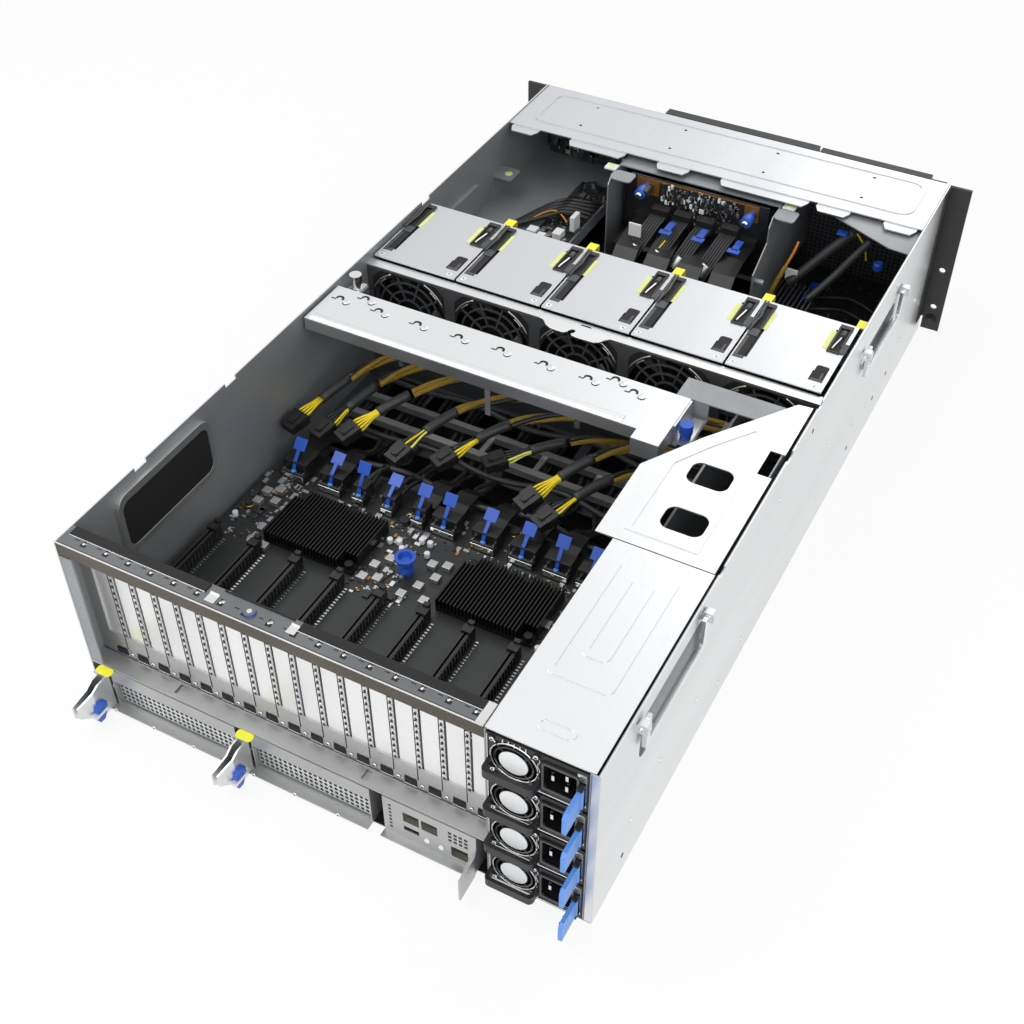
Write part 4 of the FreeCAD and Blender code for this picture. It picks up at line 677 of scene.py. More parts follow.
    def perforated(self, low: Sequence, high: Sequence, y: float, thick: float, pitch: float, hole: float,
                   look: Look, sides: int = 8) -> None:
        """Add an upright perforated sheet: each square cell's wall runs from its edge to a round hole.

        Args:
            low: Low corner (x, z).
            high: High corner (x, z).
            y: Rear face of the sheet.
            thick: Thickness.
            pitch: Wanted spacing of the holes.
            hole: Radius of a hole.
            look: Finish.
            sides: Corners of a hole, a multiple of four.
        """
        low, high = np.array(low, float), np.array(high, float)
        cells = np.maximum(np.round((high - low) / pitch).astype(int), 1)
        size = (high - low) / cells
        column, row = np.meshgrid(np.arange(cells[0]), np.arange(cells[1]), indexing="ij")
        centre = low + (np.stack([column.ravel(), row.ravel()], axis=-1) + 0.5) * size
        angle = (np.arange(sides) + 0.5) * TAU / sides
        spread = np.stack([np.cos(angle), np.sin(angle)], axis=-1)
        square = spread / np.abs(spread).max(axis=1, keepdims=True) * size / 2
        corner = np.arange(sides // 8, sides, sides // 4)
        square[corner] = np.sign(spread[corner]) * size / 2
        flat = centre[:, None, None] + np.stack([square, spread * hole])
        points = np.stack([np.insert(flat, 1, face, axis=-1) for face in (y, y + thick)], axis=1)
        back, ring = 2 * sides, sleeve(2, sides)
        bore = np.stack([ring[:, 3], ring[:, 2], back + ring[:, 2], back + ring[:, 3]], axis=-1)
        cell = np.concatenate([ring, back + ring[:, ::-1], bore])
        each = np.arange(len(centre))[:, None, None] * 4 * sides
        self.add(points, (cell + each).reshape(-1, 4), look)

    def finish(self, body: str, slot: str, bevel: float = 0.0) -> bpy.types.Object:
        """Make the object, let it ride on its body and name its material slot.

        Args:
            body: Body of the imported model.
            slot: Material slot of the record.
            bevel: Width of a bevel on sharp edges, in millimetres, or none.

        Returns:
            The finished object, at the origin.
        """
        mesh = bpy.data.meshes.new(self.name)
        points = np.concatenate(self.points) * MM
        totals = np.concatenate([np.full(len(block), block.shape[1]) for block in self.faces])
        corners = np.concatenate([block.ravel() for block in self.faces])
        mesh.vertices.add(len(points))
        mesh.vertices.foreach_set("co", points.ravel().astype(np.float32))
        mesh.loops.add(len(corners))
        mesh.loops.foreach_set("vertex_index", corners.astype(np.int32))
        mesh.polygons.add(len(totals))
        starts = np.concatenate([[0], np.cumsum(totals)[:-1]])
        mesh.polygons.foreach_set("loop_start", starts.astype(np.int32))
        mesh.polygons.foreach_set("loop_total", totals.astype(np.int32))
        looks = np.concatenate(self.looks)
        used = np.unique(looks)
        mesh.polygons.foreach_set("material_index", np.searchsorted(used, looks).astype(np.int32))
        mesh.polygons.foreach_set("use_smooth", np.concatenate(self.smooth))
        for value in used:
            mesh.materials.append(SHOP.material(LOOKS[value].value))
        layer = mesh.uv_layers.new(name="surface")
        layer.data.foreach_set("uv", np.concatenate(self.maps)[corners].ravel().astype(np.float32))
        mesh.update(calc_edges=True)
        mesh.validate()
        piece = bpy.data.objects.new(self.name, mesh)
        bpy.context.scene.collection.objects.link(piece)
        if bevel:
            edge = piece.modifiers.new("edge", "BEVEL")
            edge.width = bevel * MM
            edge.segments = 2
            edge.limit_method = "ANGLE"
        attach(piece, body)
        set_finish(piece, slot)
        LOG.info("%s: %d faces on %s", self.name, len(totals), body)
        return piece


def span(node: str) -> tuple[Points, Points]:
    """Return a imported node's low and high corners in millimetres."""
    low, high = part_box(node)
    return np.array(low) / MM, np.array(high) / MM


def round_box(x0: float, x1: float, y0: float, y1: float, radius: float, steps: int = 6) -> Points:
    """Outline of a rectangle with quarter circles at its corners.

    Args:
        x0: Low value across.
        x1: High value across.
        y0: Low value along.
        y1: High value along.
        radius: Corner radius.
        steps: Points on each quarter circle.

    Returns:
        Points of shape (4 * steps, 2), anticlockwise.
    """
    corner = np.array([[x1 - radius, y1 - radius], [x0 + radius, y1 - radius], [x0 + radius, y0 + radius],
                       [x1 - radius, y0 + radius]])
    angle = np.linspace(0, TAU / 4, steps)[None] + np.arange(4)[:, None] * TAU / 4
    return (corner[:, None] + radius * np.stack([np.cos(angle), np.sin(angle)], axis=-1)).reshape(-1, 2)


# Sub-assemblies


@dataclass
class Chassis:
    """Sheet-metal shell: finishes, wall rivets, the film in the left finger dish and the rail's hardware."""

    rivet: float = 2.6
    rivet_places: tuple = ((-290.9, 61.2), (-234.4, 140.9), (-220, 51.8), (-169.2, 17.1), (-339.4, 48.9),
                           (-71.7, 136.9), (-9.7, 13.1), (148.3, 51.2), (192.2, 40.6), (300.7, 45.1),
                           (333.6, 72.7), (60, 96), (60, 30), (-120, 20))
    pit: float = 2.2
    pit_places: tuple = ((-3.1, 156.1), (145, 23), (219.9, 29.2), (-351, 20), (262, 30))
    dish_rim: tuple = (-340.0, -225.0, 108.0, 166.0)
    dish_floor: tuple = (-335.5, -229.5, 113.5, 158.5)
    rail_left: float = -218.5
    rail_right: float = 136.4
    foam_spans: tuple = ((-214, -92), (-14, 130))
    tabs: tuple = ((-88, -80, 13), (-21, -14, 15))
    tab_depth: float = 8.5
    tab_fold: float = 0.8
    ringed_screw: tuple = (-53, 10, 0)

    def dress(self) -> None:
        """Give the shell's nodes their finishes."""
        SHOP.dress(LID, "front_top_cover")
        SHOP.dress(ZINC, "duct_cover", "psu_top_cover")
        SHOP.dress(SHADED_GALVANISED, "drive_cage", "psu_cage")
        SHOP.dress(LEFT_WALL, "left_side_wall")
        SHOP.dress(RIGHT_WALL, "right_side_wall")
        SHOP.dress(PAN, "base_pan")
        SHOP.dress(TRAY, "gpu_tray")
        SHOP.dress(FAN_WALL, "fan_wall")
        SHOP.dress(BEAM, "rear_top_beam")
        SHOP.dress(REAR, "rear_slot_panel")
        SHOP.dress(COVER, "slot_covers")
        SHOP.dress(POWDER, "front_panel", "left_rack_ear", "right_rack_ear")
        for side in ("left", "right"):
            SHOP.dress(NICKEL, f"lift_handle_{side}_rear", f"lift_handle_{side}_front")

    def rivets(self) -> None:
        """Flush rivets on both outer walls, and small holes shown as painted shade."""
        patch = Patch("wall_rivets")
        dome = [(self.rivet, 0), (self.rivet * 0.95, 0.35), (self.rivet * 0.6, 0.7), (0.3, 0.8)]
        hole = [(self.pit, 0), (self.pit, 0.1), (0.2, 0.12)]
        for sign in (1, -1):
            for profile, places, look in ((dome, self.rivet_places, Look.SILVER),
                                          (hole, self.pit_places, Look.DARK)):
                centres = at(sign * WALL_X, *np.array(places).T)
                patch.turned(profile, centres, look, Axis.X, 14, sign=sign)
        patch.finish("chassis", "steel")

    def wall_film(self) -> None:
        """Black film on the floor of the left finger dish, inside the dish's bright rolled rim."""
        patch = Patch("wall_film")
        film = round_box(*self.dish_floor, 8)
        patch.framed(round_box(*self.dish_rim, 12), film, -218.6, -213.6, Look.GREY, Axis.X)
        patch.pushed(film, -214.6, -214.1, Look.DARK, Axis.X)
        patch.finish("chassis", "black_plastic", 0.8)

    def rail(self) -> None:
        """Seal foam, clamping curls, edge line, tabs and ringed screw on the beam over the slot covers."""
        patch = Patch("rear_rail_hardware", (0, REAR_Y, TOP_Z))
        patch.boxes([self.rail_left, self.rail_right, -0.3, 0.9, 0, 0.3], Look.SILVER)
        patch.boxes([self.rail_left + 0.5, self.rail_right - 0.4, 1.1, 1.8, 0, 0.08], Look.DARK)
        x = SLOT_X + 9.2
        patch.row(x - 2.4, x + 2.4, 5.2, 8.4, 0, 0.1, Look.DARK)
        patch.row(x - 9.5, x - 5.5, 9.0, 9.8, 0, 0.1, Look.DARK)
        patch.turned([(1.2, 0), (1.1, 0.3), (0.7, 0.5), (0.2, 0.5)], at(x - 0.4, 8.2, 0), Look.SILVER,
                     sides=12)
        for x0, x1 in self.foam_spans:
            patch.boxes([x0, x1, 11.4, 19.4, 0, 1.3], Look.FOAM)
            patch.boxes([x0, x1, 10.6, 11.2, 0, 0.9], Look.SILVER)
        fold = self.tab_fold
        for x0, x1, y in self.tabs:
            patch.boxes([[x0, x1, y - self.tab_depth, y, 0, fold], [x0, x1, y - fold, y, fold, fold + 1.1]],
                        Look.SILVER)
        patch.boxes([self.foam_spans[1][1], self.rail_right, 1, 19.8, 0, 0.5], Look.SILVER)
        patch.boxes([self.tabs[0][1], self.tabs[1][0], 18.4, 19.6, 0, 0.9], Look.DARK)
        foot, head = 1.5 - TOP_Z, 174.4 - TOP_Z
        patch.boxes([[214.2, 219.9, -0.35, -0.05, foot, head], [-219.9, -218.6, -0.35, -0.05, foot, head]],
                    Look.STEEL)
        middle = np.array(self.ringed_screw)
        patch.turned([(4.8, 0), (4.8, 0.9), (4.4, 1.2)], middle + (0, 0, 0.7), Look.BLUE)
        patch.turned([(4.55, 0), (4.55, 0.7)], middle, Look.SILVER)
        patch.turned([(2.7, 0), (2.7, 1.9), (1.4, 1.95)], middle, Look.SILVER, sides=16)
        patch.finish("chassis", "steel", 0.12)

    def build(self) -> None:
        """Make every piece of the shell."""
        self.dress()
        self.rivets()
        self.wall_film()
        self.rail()


@dataclass
class SupportBar:
    """Folded bar over the card bay: rolled rear rib, hook cuts, straps and the end block with its tab."""

    left: float = -216.0
    right: float = 100.0
    end: float = 124.0
    rear: float = -84.0
    front: float = -30.0
    top: float = 172.0
    sheet: float = 1.5
    flange: float = 12.0
    block_drop: float = 17.0
    tab_drop: float = 19.7
    rib_radius: float = 4.6
    rib_height: float = 1.9
    straps: tuple = ((-36, 5, 41, Look.GREY), (47, 5, 22, Look.SHEET), (-120, 4, 20, Look.SHEET))
    hook: float = 4.3
    hook_bore: float = 2.3
    screw: float = 3.3
    hooks: tuple = ((-204, -46), (-184, -36), (-164, -46), (-124.5, -46.5), (-84, -46), (-44, -45), (-3, -45),
                    (38, -45), (59, -36), (79, -44))

    def build(self) -> None:
        """Make the bar as one folded sheet with its trim, and dress its screws."""
        patch = Patch("support_bar", (0, 0, self.top))
        x0, x1, xe, y0, y1, t = self.left, self.right, self.end, self.rear, self.front, self.sheet
        yb, foot, tab = y0 - self.flange, -self.block_drop, -self.tab_drop
        patch.boxes([[x0, x1, y0, y1, -t, 0], [x0, x1, y0, y0 + t, -self.flange, -t],
                     [x0, x1, y1 - t, y1, -self.flange, -t], [x1, xe, yb, y1, -t, 0],
                     [x1, xe, yb, yb + t, foot, -t], [x1, x1 + t, yb + t, y0, foot, -t],
                     [xe - t, xe, yb + t, y1, foot, -t],
                     [x0, x0 + 12, y1 - t, -2, -self.flange - t, -self.flange],
                     [xe, xe + 13.5, -66, y1, tab, tab + t], [xe, xe + t, -66, y1, tab + t, -t]], Look.STEEL)
        angle = np.linspace(0, math.pi, 9)
        rib = at(y0 + 5.2 + self.rib_radius * np.cos(angle), self.rib_height * np.sin(angle))
        patch.pushed(rib, x0 + 5, x1 - 14, Look.STEEL, Axis.X)
        for x, wide, drop, look in self.straps:
            patch.boxes([x - wide / 2, x + wide / 2, y0 + 1.6, y0 + 2.4, -drop, -2], look)
        # The hook cuts are dark crescents of painted shade on the top
        arc = np.linspace(-0.25, 1.1 * math.pi, 12)
        circle = at(np.cos(arc), np.sin(arc))
        hook = np.vstack([self.hook * circle, self.hook_bore * circle[::-1] - (0, 0.5)])
        places = np.array(self.hooks, float)
        for place in places:
            patch.pushed(hook + place, 0, 0.12, Look.DARK)
        # Painted shadow: a dark disc under each screw head, reaching beyond it towards the rear
        shade = at(*(places + (8.6, -3.0)).T, 0)
        patch.turned([(self.screw + 0.2, 0), (self.screw + 0.2, 0.12), (0.2, 0.12)], shade, Look.DARK,
                     sides=18)
        patch.turned([(self.screw, 0.1), (self.screw, 0.7), (self.screw - 0.4, 0.9), (0.2, 0.9)],
                     shade + (0, 0.7, 0), Look.STEEL, sides=18)
        x, y = places.T
        patch.row(x - 7.4, x - 3.2, y - 1.6, y + 0.9, 0, 0.9, Look.STEEL)
        # Painted shadow: a dark strip along the rear foot of each raised tab
        patch.row(x - 7.4, x - 2.6, y - 2.4, y - 1.7, 0, 0.12, Look.DARK)
        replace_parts(patch.finish("support_bar", "steel", 0.35), "gpu_support_bar")
        SHOP.dress(NICKEL, "support_bar_screw_left")
        SHOP.dress(POLYCARBONATE, "support_bar_screw_right")


@dataclass
class FanSection:
    """Five lift-out fan trays with their latches and films, and the guarded wall with its hooked ledge."""

    count: int = 5
    top: float = 168.0
    wall_y: float = 20.0
    axis_z: float = 124.5
    opening: float = 37.8
    corner_reach: float = 47.0
    bore: float = 37.4
    guard_sides: int = 48
    ledge_low: float = 163.6
    ledge_high: float = 165.2

    def tray_details(self, number: int) -> None:
        """Latches, pockets, films and screws of one tray, measured from the tray's left edge and top.

        Args:
            number: Tray number, from one.
        """
        low, high = span(f"fan_module_{number}")
        w = high[0] - low[0]
        patch = Patch(f"fan_tray_trim_{number}", (low[0], 0, self.top))
        # Painted shade: dark patches just over the top plate where its pockets open
        patch.boxes([[w - 14.9, w - 3.6, 88, 127, 0, 0.06], [1.2, 10.8, 44, 127, 0, 0.06]], Look.DARK)
        patch.pushed(round_box(w - 15, w - 4, 43.6, 66, 2.4), 0, 0.06, Look.DARK)
        patch.boxes([[w - 14.6, w - 4.4, 44, 47, 0, 0.2], [1.6, 10.4, 44.4, 47.6, 0, 0.3],
                     [1.6, 4.6, 48, 77, 0, 0.25], [w - 8, w - 6, 47, 56, 0, 0.3]], Look.PEWTER)
        patch.boxes([[1.4, 10.6, 78, 88, 0, 0.7], [w - 4.6, w + 0.8, 88, 102, 0.2, 1.1]], Look.SHEET)
        patch.boxes([[w - 15.2, w - 3.6, 122.5, 127.5, 0, 1.6], [1, 10.8, 122.5, 127.5, 0, 1.6],
                     [w - 15.2, w - 13.4, 88, 123, 0, 1.3], [w - 5.4, w - 3.8, 96, 123, 0, 1.3],
                     [8.8, 10.8, 88, 123, 0, 1.3], [w - 15.2, w - 4, 87, 88.6, 0, 1.1]], Look.BLACK)
        patch.cable([[w - 11.6, 91, 1.0], [w - 10.8, 97, 1.3], [w - 9.6, 103, 1.3], [w - 8.8, 110, 1.0]], 0.9,
                    Look.STEEL, 8)
        patch.turned([(2.3, 0), (2.3, 6), (1.7, 6.6)], [w - 8.6, 111, 1.2], Look.PEWTER, Axis.Y, 14)
        spring = np.array([[0.2, 84, 1.5], [1.2, 96, 2.6], [3.0, 104, 3], [1.4, 114, 3], [0.6, 129, 1.5]])
        for side in (-1.3, 1.3):
            patch.cable(spring + (side, 0, 0), 1.05, Look.PEWTER, 20)
        patch.boxes([[10.9, 14.4, 91, 118, 0, 0.3], [w - 20.2, w - 15.4, 90, 117, 0, 0.3]], Look.LIME)
        patch.boxes([[w - 3.5, w + 5.5, 131.4, 142.5, -0.4, 0.2], [w - 3.5, w + 5.5, 142, 142.6, -9, 0]],
                    Look.YELLOW)
        rings = [[4.6, 36.8, 0], [w - 8.2, 36.8, 0]]
        patch.turned([(2.7, 0), (2.7, 0.12), (2.2, 0.3), (1.6, 0.1), (0.2, 0.1)], rings, Look.STEEL, sides=18)
        # Painted shade in the hole of each ring
        patch.turned([(0.7, 0.1), (0.7, 0.2), (0.1, 0.2)], rings, Look.DARK, sides=10)
        patch.boxes([[0.1, 0.6, 32, 131, 0, 0.5], [w - 0.6, w - 0.1, 32, 131, 0, 0.5]], Look.STEEL)
        patch.finish(f"fan_{number}", "black_plastic", 0.15)

    def guards(self) -> None:
        """Outer guard wires: beyond the round bore each wire runs on into the corners of a square opening."""
        patch = Patch("fan_guard_corners", (0, self.wall_y, 0))
        angle = np.arange(self.guard_sides) * TAU / self.guard_sides
        unit = at(np.cos(angle), np.sin(angle))
        reach = np.minimum(self.opening / np.abs(unit).max(axis=1), self.corner_reach)
        for number in range(1, self.count + 1):
            low, high = span(f"fan_module_{number}")
            middle = np.array([self.axis_z, (low[0] + high[0]) / 2])
            patch.framed(unit * reach[:, None] + middle, unit * self.bore + middle, -0.35, -0.05, Look.DARK,
                         Axis.Y)
            for radius, room in ((40.6, 0.34), (38.4, 0.12)):
                for corner in range(4):
                    arc = (corner + 0.5) * TAU / 4 + np.linspace(-room, room, 9)
                    path = at(middle[1] + radius * np.sin(arc), -0.5, middle[0] + radius * np.cos(arc))
                    patch.tube(path, 0.75, Look.GREY, 6, up=(0, 1, 0))
        patch.finish("chassis", "steel")

    def ledge(self) -> None:
        """Ledge lip that swells towards the cards, bitten by the bar's hook."""
        patch = Patch("fan_ledge_lip")
        outline = [(-40, 26), (-40, 20), (-36, 19), (-31, 13.5), (-26, 10.8), (-19, 10), (-12, 10.4),
                   (-9.5, 13), (-8.4, 17), (-5.6, 18.4), (-3.2, 16.8), (-3.4, 14), (-5.6, 11.6), (-4, 9.6),
                   (2, 8.8), (17, 9.2), (22, 12), (25, 17), (28, 20), (28, 26)]
        patch.pushed(outline, self.ledge_low, self.ledge_high, Look.STEEL)
        patch.finish("chassis", "steel", 0.3)

    def build(self) -> None:
        """Make every tray's pieces, the guards and the ledge."""
        for number in range(1, self.count + 1):
            SHOP.dress(FAN_BODY, f"fan_module_{number}")
            SHOP.dress(NYLON, f"fan_rotor_{number}")
            self.tray_details(number)
        self.guards()
        self.ledge()


def smooth_path(points: Points, steps: int) -> Points:
    """Path through control points as a uniform quadratic B-spline that starts and ends on the end points.

    Args:
        points: Control points, shape (n, 3).
        steps: Number of points on the path.

    Returns:
        Points of shape (steps, 3).
    """
    middle = (points[1:-2] + points[2:-1]) / 2
    first = np.vstack([points[:1], middle])
    last = np.vstack([middle, points[-1:]])
    corner = points[1:-1]
    t = np.linspace(0, len(corner) - 1e-6, steps)
    part = t.astype(int)
    t = (t - part)[:, None]
    return (1 - t) ** 2 * first[part] + 2 * t * (1 - t) * corner[part] + t ** 2 * last[part]


@dataclass
class CardBay:
    """Switch board: parts on its slots, small parts, coils, cable plugs and screws."""

    slots: int = 8
    slot_pitch: float = 40.64
    slot_rows: tuple = ((6, 36, 2.2), (5, 19, 4.4), (4, 26, 3.3))
    clusters: tuple = ((-190, -225, 20, 26, 70), (-60, -205, 20, 34, 110), (-52, -245, 26, 10, 50),
                       (100, -205, 12, 40, 70), (-190, -190, 20, 26, 60), (0, -173, 110, 5, 110),
                       (-120, -173, 70, 5, 60), (112, -300, 10, 50, 70), (-60, -150, 120, 8, 90),
                       (60, -176, 60, 6, 40))
    coil: float = 7.6
    coil_height: float = 4.6
    coil_places: tuple = ((-196, -190), (-186, -184), (-196, -204), (-182, -198), (-172, -246), (-160, -247),
                          (-66, -222), (-56, -234), (-68, -238), (-58, -210), (-24, -200), (-14, -212),
                          (-22, -226), (-30, -240), (-10, -238), (-12, -196), (98, -196), (98, -208),
                          (100, -222))
    can: float = 2.6
    can_places: tuple = ((-70, -192), (-62, -190), (-56, -196), (-34, -192), (112, -236), (112, -226),
                         (-204, -226), (-46, -180), (-38, -180), (94, -240))
    plug_y: float = -166.0
    plug_depth: float = 17.0
    plug_height: float = 17.0
    plug_half: float = 12.0
    small_plug_half: float = 6.5
    small_plugs: tuple = (2, 3, 4)
    tilts: tuple = (0.80, 0.62, 0.95, 0.55, 0.74, 0.84, 0.66, 0.72, 0.9, 0.7)
    screw_places: tuple = ((-203, -208), (-72, -158), (17, -133), (120, -168))

    def dress(self) -> None:
        """Give the bay's nodes their finishes."""
        SHOP.dress(MASK, "switch_board")
        SHOP.dress(NYLON, "gpu_slots")
        SHOP.dress(ANODISED, "switch_heatsinks")
        SHOP.dress(POLYCARBONATE, "board_guide_knob")
        SHOP.dress(NYLON, "signal_cables")

    def slot_parts(self) -> None:
        """Contacts in each slot's groove, moulded side ribs, end latches and the row of pads beside it."""
        patch = Patch("slot_parts")
        low, high = span("gpu_slots")
        top, end, board = high[2], high[1], BOARD_Z
        contacts, ribs, pads = (low[1] + first + np.arange(count) * pitch
                                for first, count, pitch in self.slot_rows)
        for slot in range(self.slots):
            x = low[0] + slot * self.slot_pitch
            for side in (1.0, 4.9):
                patch.row(x + side, x + side + 1.6, contacts, contacts + 1.2, top, top + 0.12, Look.CHIP)
            patch.row(x + 7.5, x + 8.3, ribs, ribs + 1.3, board + 1, top - 1, Look.BLACK)
            patch.row(x + 10.2, x + 12.6, pads, pads + 1.4, board, board + 0.6,
                      Look.WHITE if slot % 2 else Look.SILVER)
            patch.boxes([[x - 0.6, x + 8.1, end - 6, end + 1.6, board, top + 2.4],
                         [x + 1.2, x + 6.3, end + 1.6, end + 5.4, board + 2, top + 4.2]], Look.BLACK)
        patch.finish("chassis", "black_plastic", 0.12)

    def small_parts(self) -> None:
        """Scattered chip components, in clusters round the heatsinks and slots, from a seeded draw."""
        rng = np.random.default_rng(SEED)
        patch = Patch("board_parts")
        for cx, cy, wide, deep, count in self.clusters:
            centre = at(cx + rng.uniform(-wide, wide, count), cy + rng.uniform(-deep, deep, count))
            size = rng.choice([0.8, 1.2, 1.8, 2.6], count, p=[0.4, 0.3, 0.18, 0.12])
            half = at(size, size * rng.choice([0.5, 0.6, 1.6], count))
            low = at(*(centre - half).T, BOARD_Z)
            high = at(*(centre + half).T, BOARD_Z + 0.5 + 0.5 * size)
            kind = rng.integers(0, 5, count)
            for value, look in enumerate((Look.SILVER, Look.CHIP, Look.GREY, Look.CHIP, Look.COPPER)):
                pick = (kind == value) & ((size < 1.5) | (value < 3))
                if pick.any():
                    patch.bricks(low[pick], high[pick], look)
        patch.finish("chassis", "black_plastic")

    def coils(self) -> None:
        """Silver power coils and white capacitors beside the heatsinks and the knob."""
        patch = Patch("board_coils")
        low = at(*(np.array(self.coil_places) - self.coil / 2).T, BOARD_Z)
        patch.bricks(low, low + (self.coil, self.coil, self.coil_height), Look.GREY)
        patch.turned([(self.can, 0), (self.can, 4.6), (self.can - 0.4, 5.2), (0.3, 5.2)],
                     at(*np.array(self.can_places).T, BOARD_Z), Look.WHITE, sides=18)
        patch.finish("chassis", "black_plastic", 0.4)

    def plugs(self) -> None:
        """Cable plugs: stepped black housings, a wire latch and a pull tab tilted up on a narrow stem."""
        patch = Patch("signal_plugs", (0, self.plug_y, BOARD_Z))
        x, depth, high = np.array(PLUG_X), self.plug_depth, self.plug_height
        half = np.full(len(x), self.plug_half)
        half[list(self.small_plugs)] = self.small_plug_half
        for left, right, y0, y1, z0, z1, look in (
                (-half, half, 0, depth, 0, 8, Look.BLACK), (-half, half, 5, depth, 8, high, Look.BLACK),
                (1 - half, half - 1, -0.5, 0, 1, 7, Look.SILVER),
                (half - 3.4, half - 1.6, 0.6, 4.6, 8, 9.4, Look.SILVER),
                (1.6 - half, 3.4 - half, 0.6, 4.6, 8, 9.4, Look.SILVER),
                (1.2 - half, half - 1.2, 0.4, 1.4, 8, 9.6, Look.PEWTER)):
            patch.row(x + left, x + right, y0, y1, z0, z1, look)
        knee = np.array([6.0, high + 0.8])
        for centre, tilt in zip(x, self.tilts):
            aim = np.array([math.cos(tilt), math.sin(tilt)])
            side = np.array([aim[1], -aim[0]])
            stem = [(3.4, 9), (2.6, 10), knee, knee + 11 * aim, knee + 11 * aim + side, knee + 0.9 * side]
            head = [knee + 10 * aim, knee + 21 * aim, knee + 21 * aim + side, knee + 10 * aim + side]
            for outline, reach in ((stem, 1.7), (head, 5.8)):
                patch.pushed(outline, centre - reach, centre + reach, Look.BLUE, Axis.X)
        patch.turned([(2.4, 0), (2.4, 1.8), (1.7, 2.4), (0.3, 2.4)], at(x, 2.6, 8), Look.PALE_BLUE, sides=14)
        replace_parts(patch.finish("chassis", "black_plastic", 0.35), "signal_cable_plugs")

    def board_screws(self) -> None:
        """Gold pads and cross-head screws that hold the board."""
        patch = Patch("board_screws", (0, 0, BOARD_Z + 0.4))
        centres = at(*np.array(self.screw_places).T, 0)
        patch.turned([(5.2, -0.3), (5.2, 0), (4.4, 0.1), (0.3, 0.1)], centres, Look.GOLD, sides=20)
        patch.screws(centres + (0, 0, 0.1), 3.2)
        patch.finish("chassis", "steel")

    def build(self) -> None:
        """Make every piece of the bay."""
        self.dress()
        self.slot_parts()
        self.small_parts()
        self.coils()
        self.plugs()
        self.board_screws()


@dataclass
class TrayCables:
    """What lies on the tray under the bar: black cables to the bulkhead and a bright ladder of two rails."""

    cable: float = 2.2
    spread: float = 6.4
    swing: float = 9.0
    floor_z: float = 48.6
    loom: float = 2.8
    looms: tuple = ((-118, 64), (-78, 62), (-14, 70))
    rails: tuple = ((-62, -55), (-34, -28))
    rungs: tuple = (-118, -62, -8, 46, 96, -170)

    def build(self) -> None:
        """Make the cables and the ladder on the tray."""
        patch = Patch("tray_cables")
        rng = np.random.default_rng(SEED + 5)
        for x in PLUG_X:
            for strand, look in enumerate((Look.SHRINK, Look.BLACK)):
                shift = (strand - 0.5) * self.spread
                bend = rng.uniform(-self.swing, self.swing)
                patch.cable([[x + shift, -150, 69], [x + shift + bend * 0.2, -132, 72 - strand],
                             [x + shift + bend, -112, 62], [x + shift - bend, -94, 52],
                             [x + shift + bend, -72, 49], [x + shift - 4, -40, self.floor_z],
                             [x + shift - 6, 10, self.floor_z]],
                            self.cable, look, 26, 8)
        patch.boxes([[-200, 112, y0, y1, 53, 60] for y0, y1 in self.rails], Look.GREY)
        patch.boxes([[x, x + 5, self.rails[0][1], self.rails[1][0], 55, 58] for x in self.rungs], Look.GREY)
        for y, z in self.looms:
            patch.cable([[126, y, z - 6], [84, y - 8, z], [30, y + 8, z + 2], [-30, y - 8, z - 2],
                         [-96, y + 5, z + 1], [-150, y - 4, z - 2], [-204, y + 6, z - 4]],
                        self.loom, Look.SHRINK, 40)
        patch.finish("chassis", "cable_black")


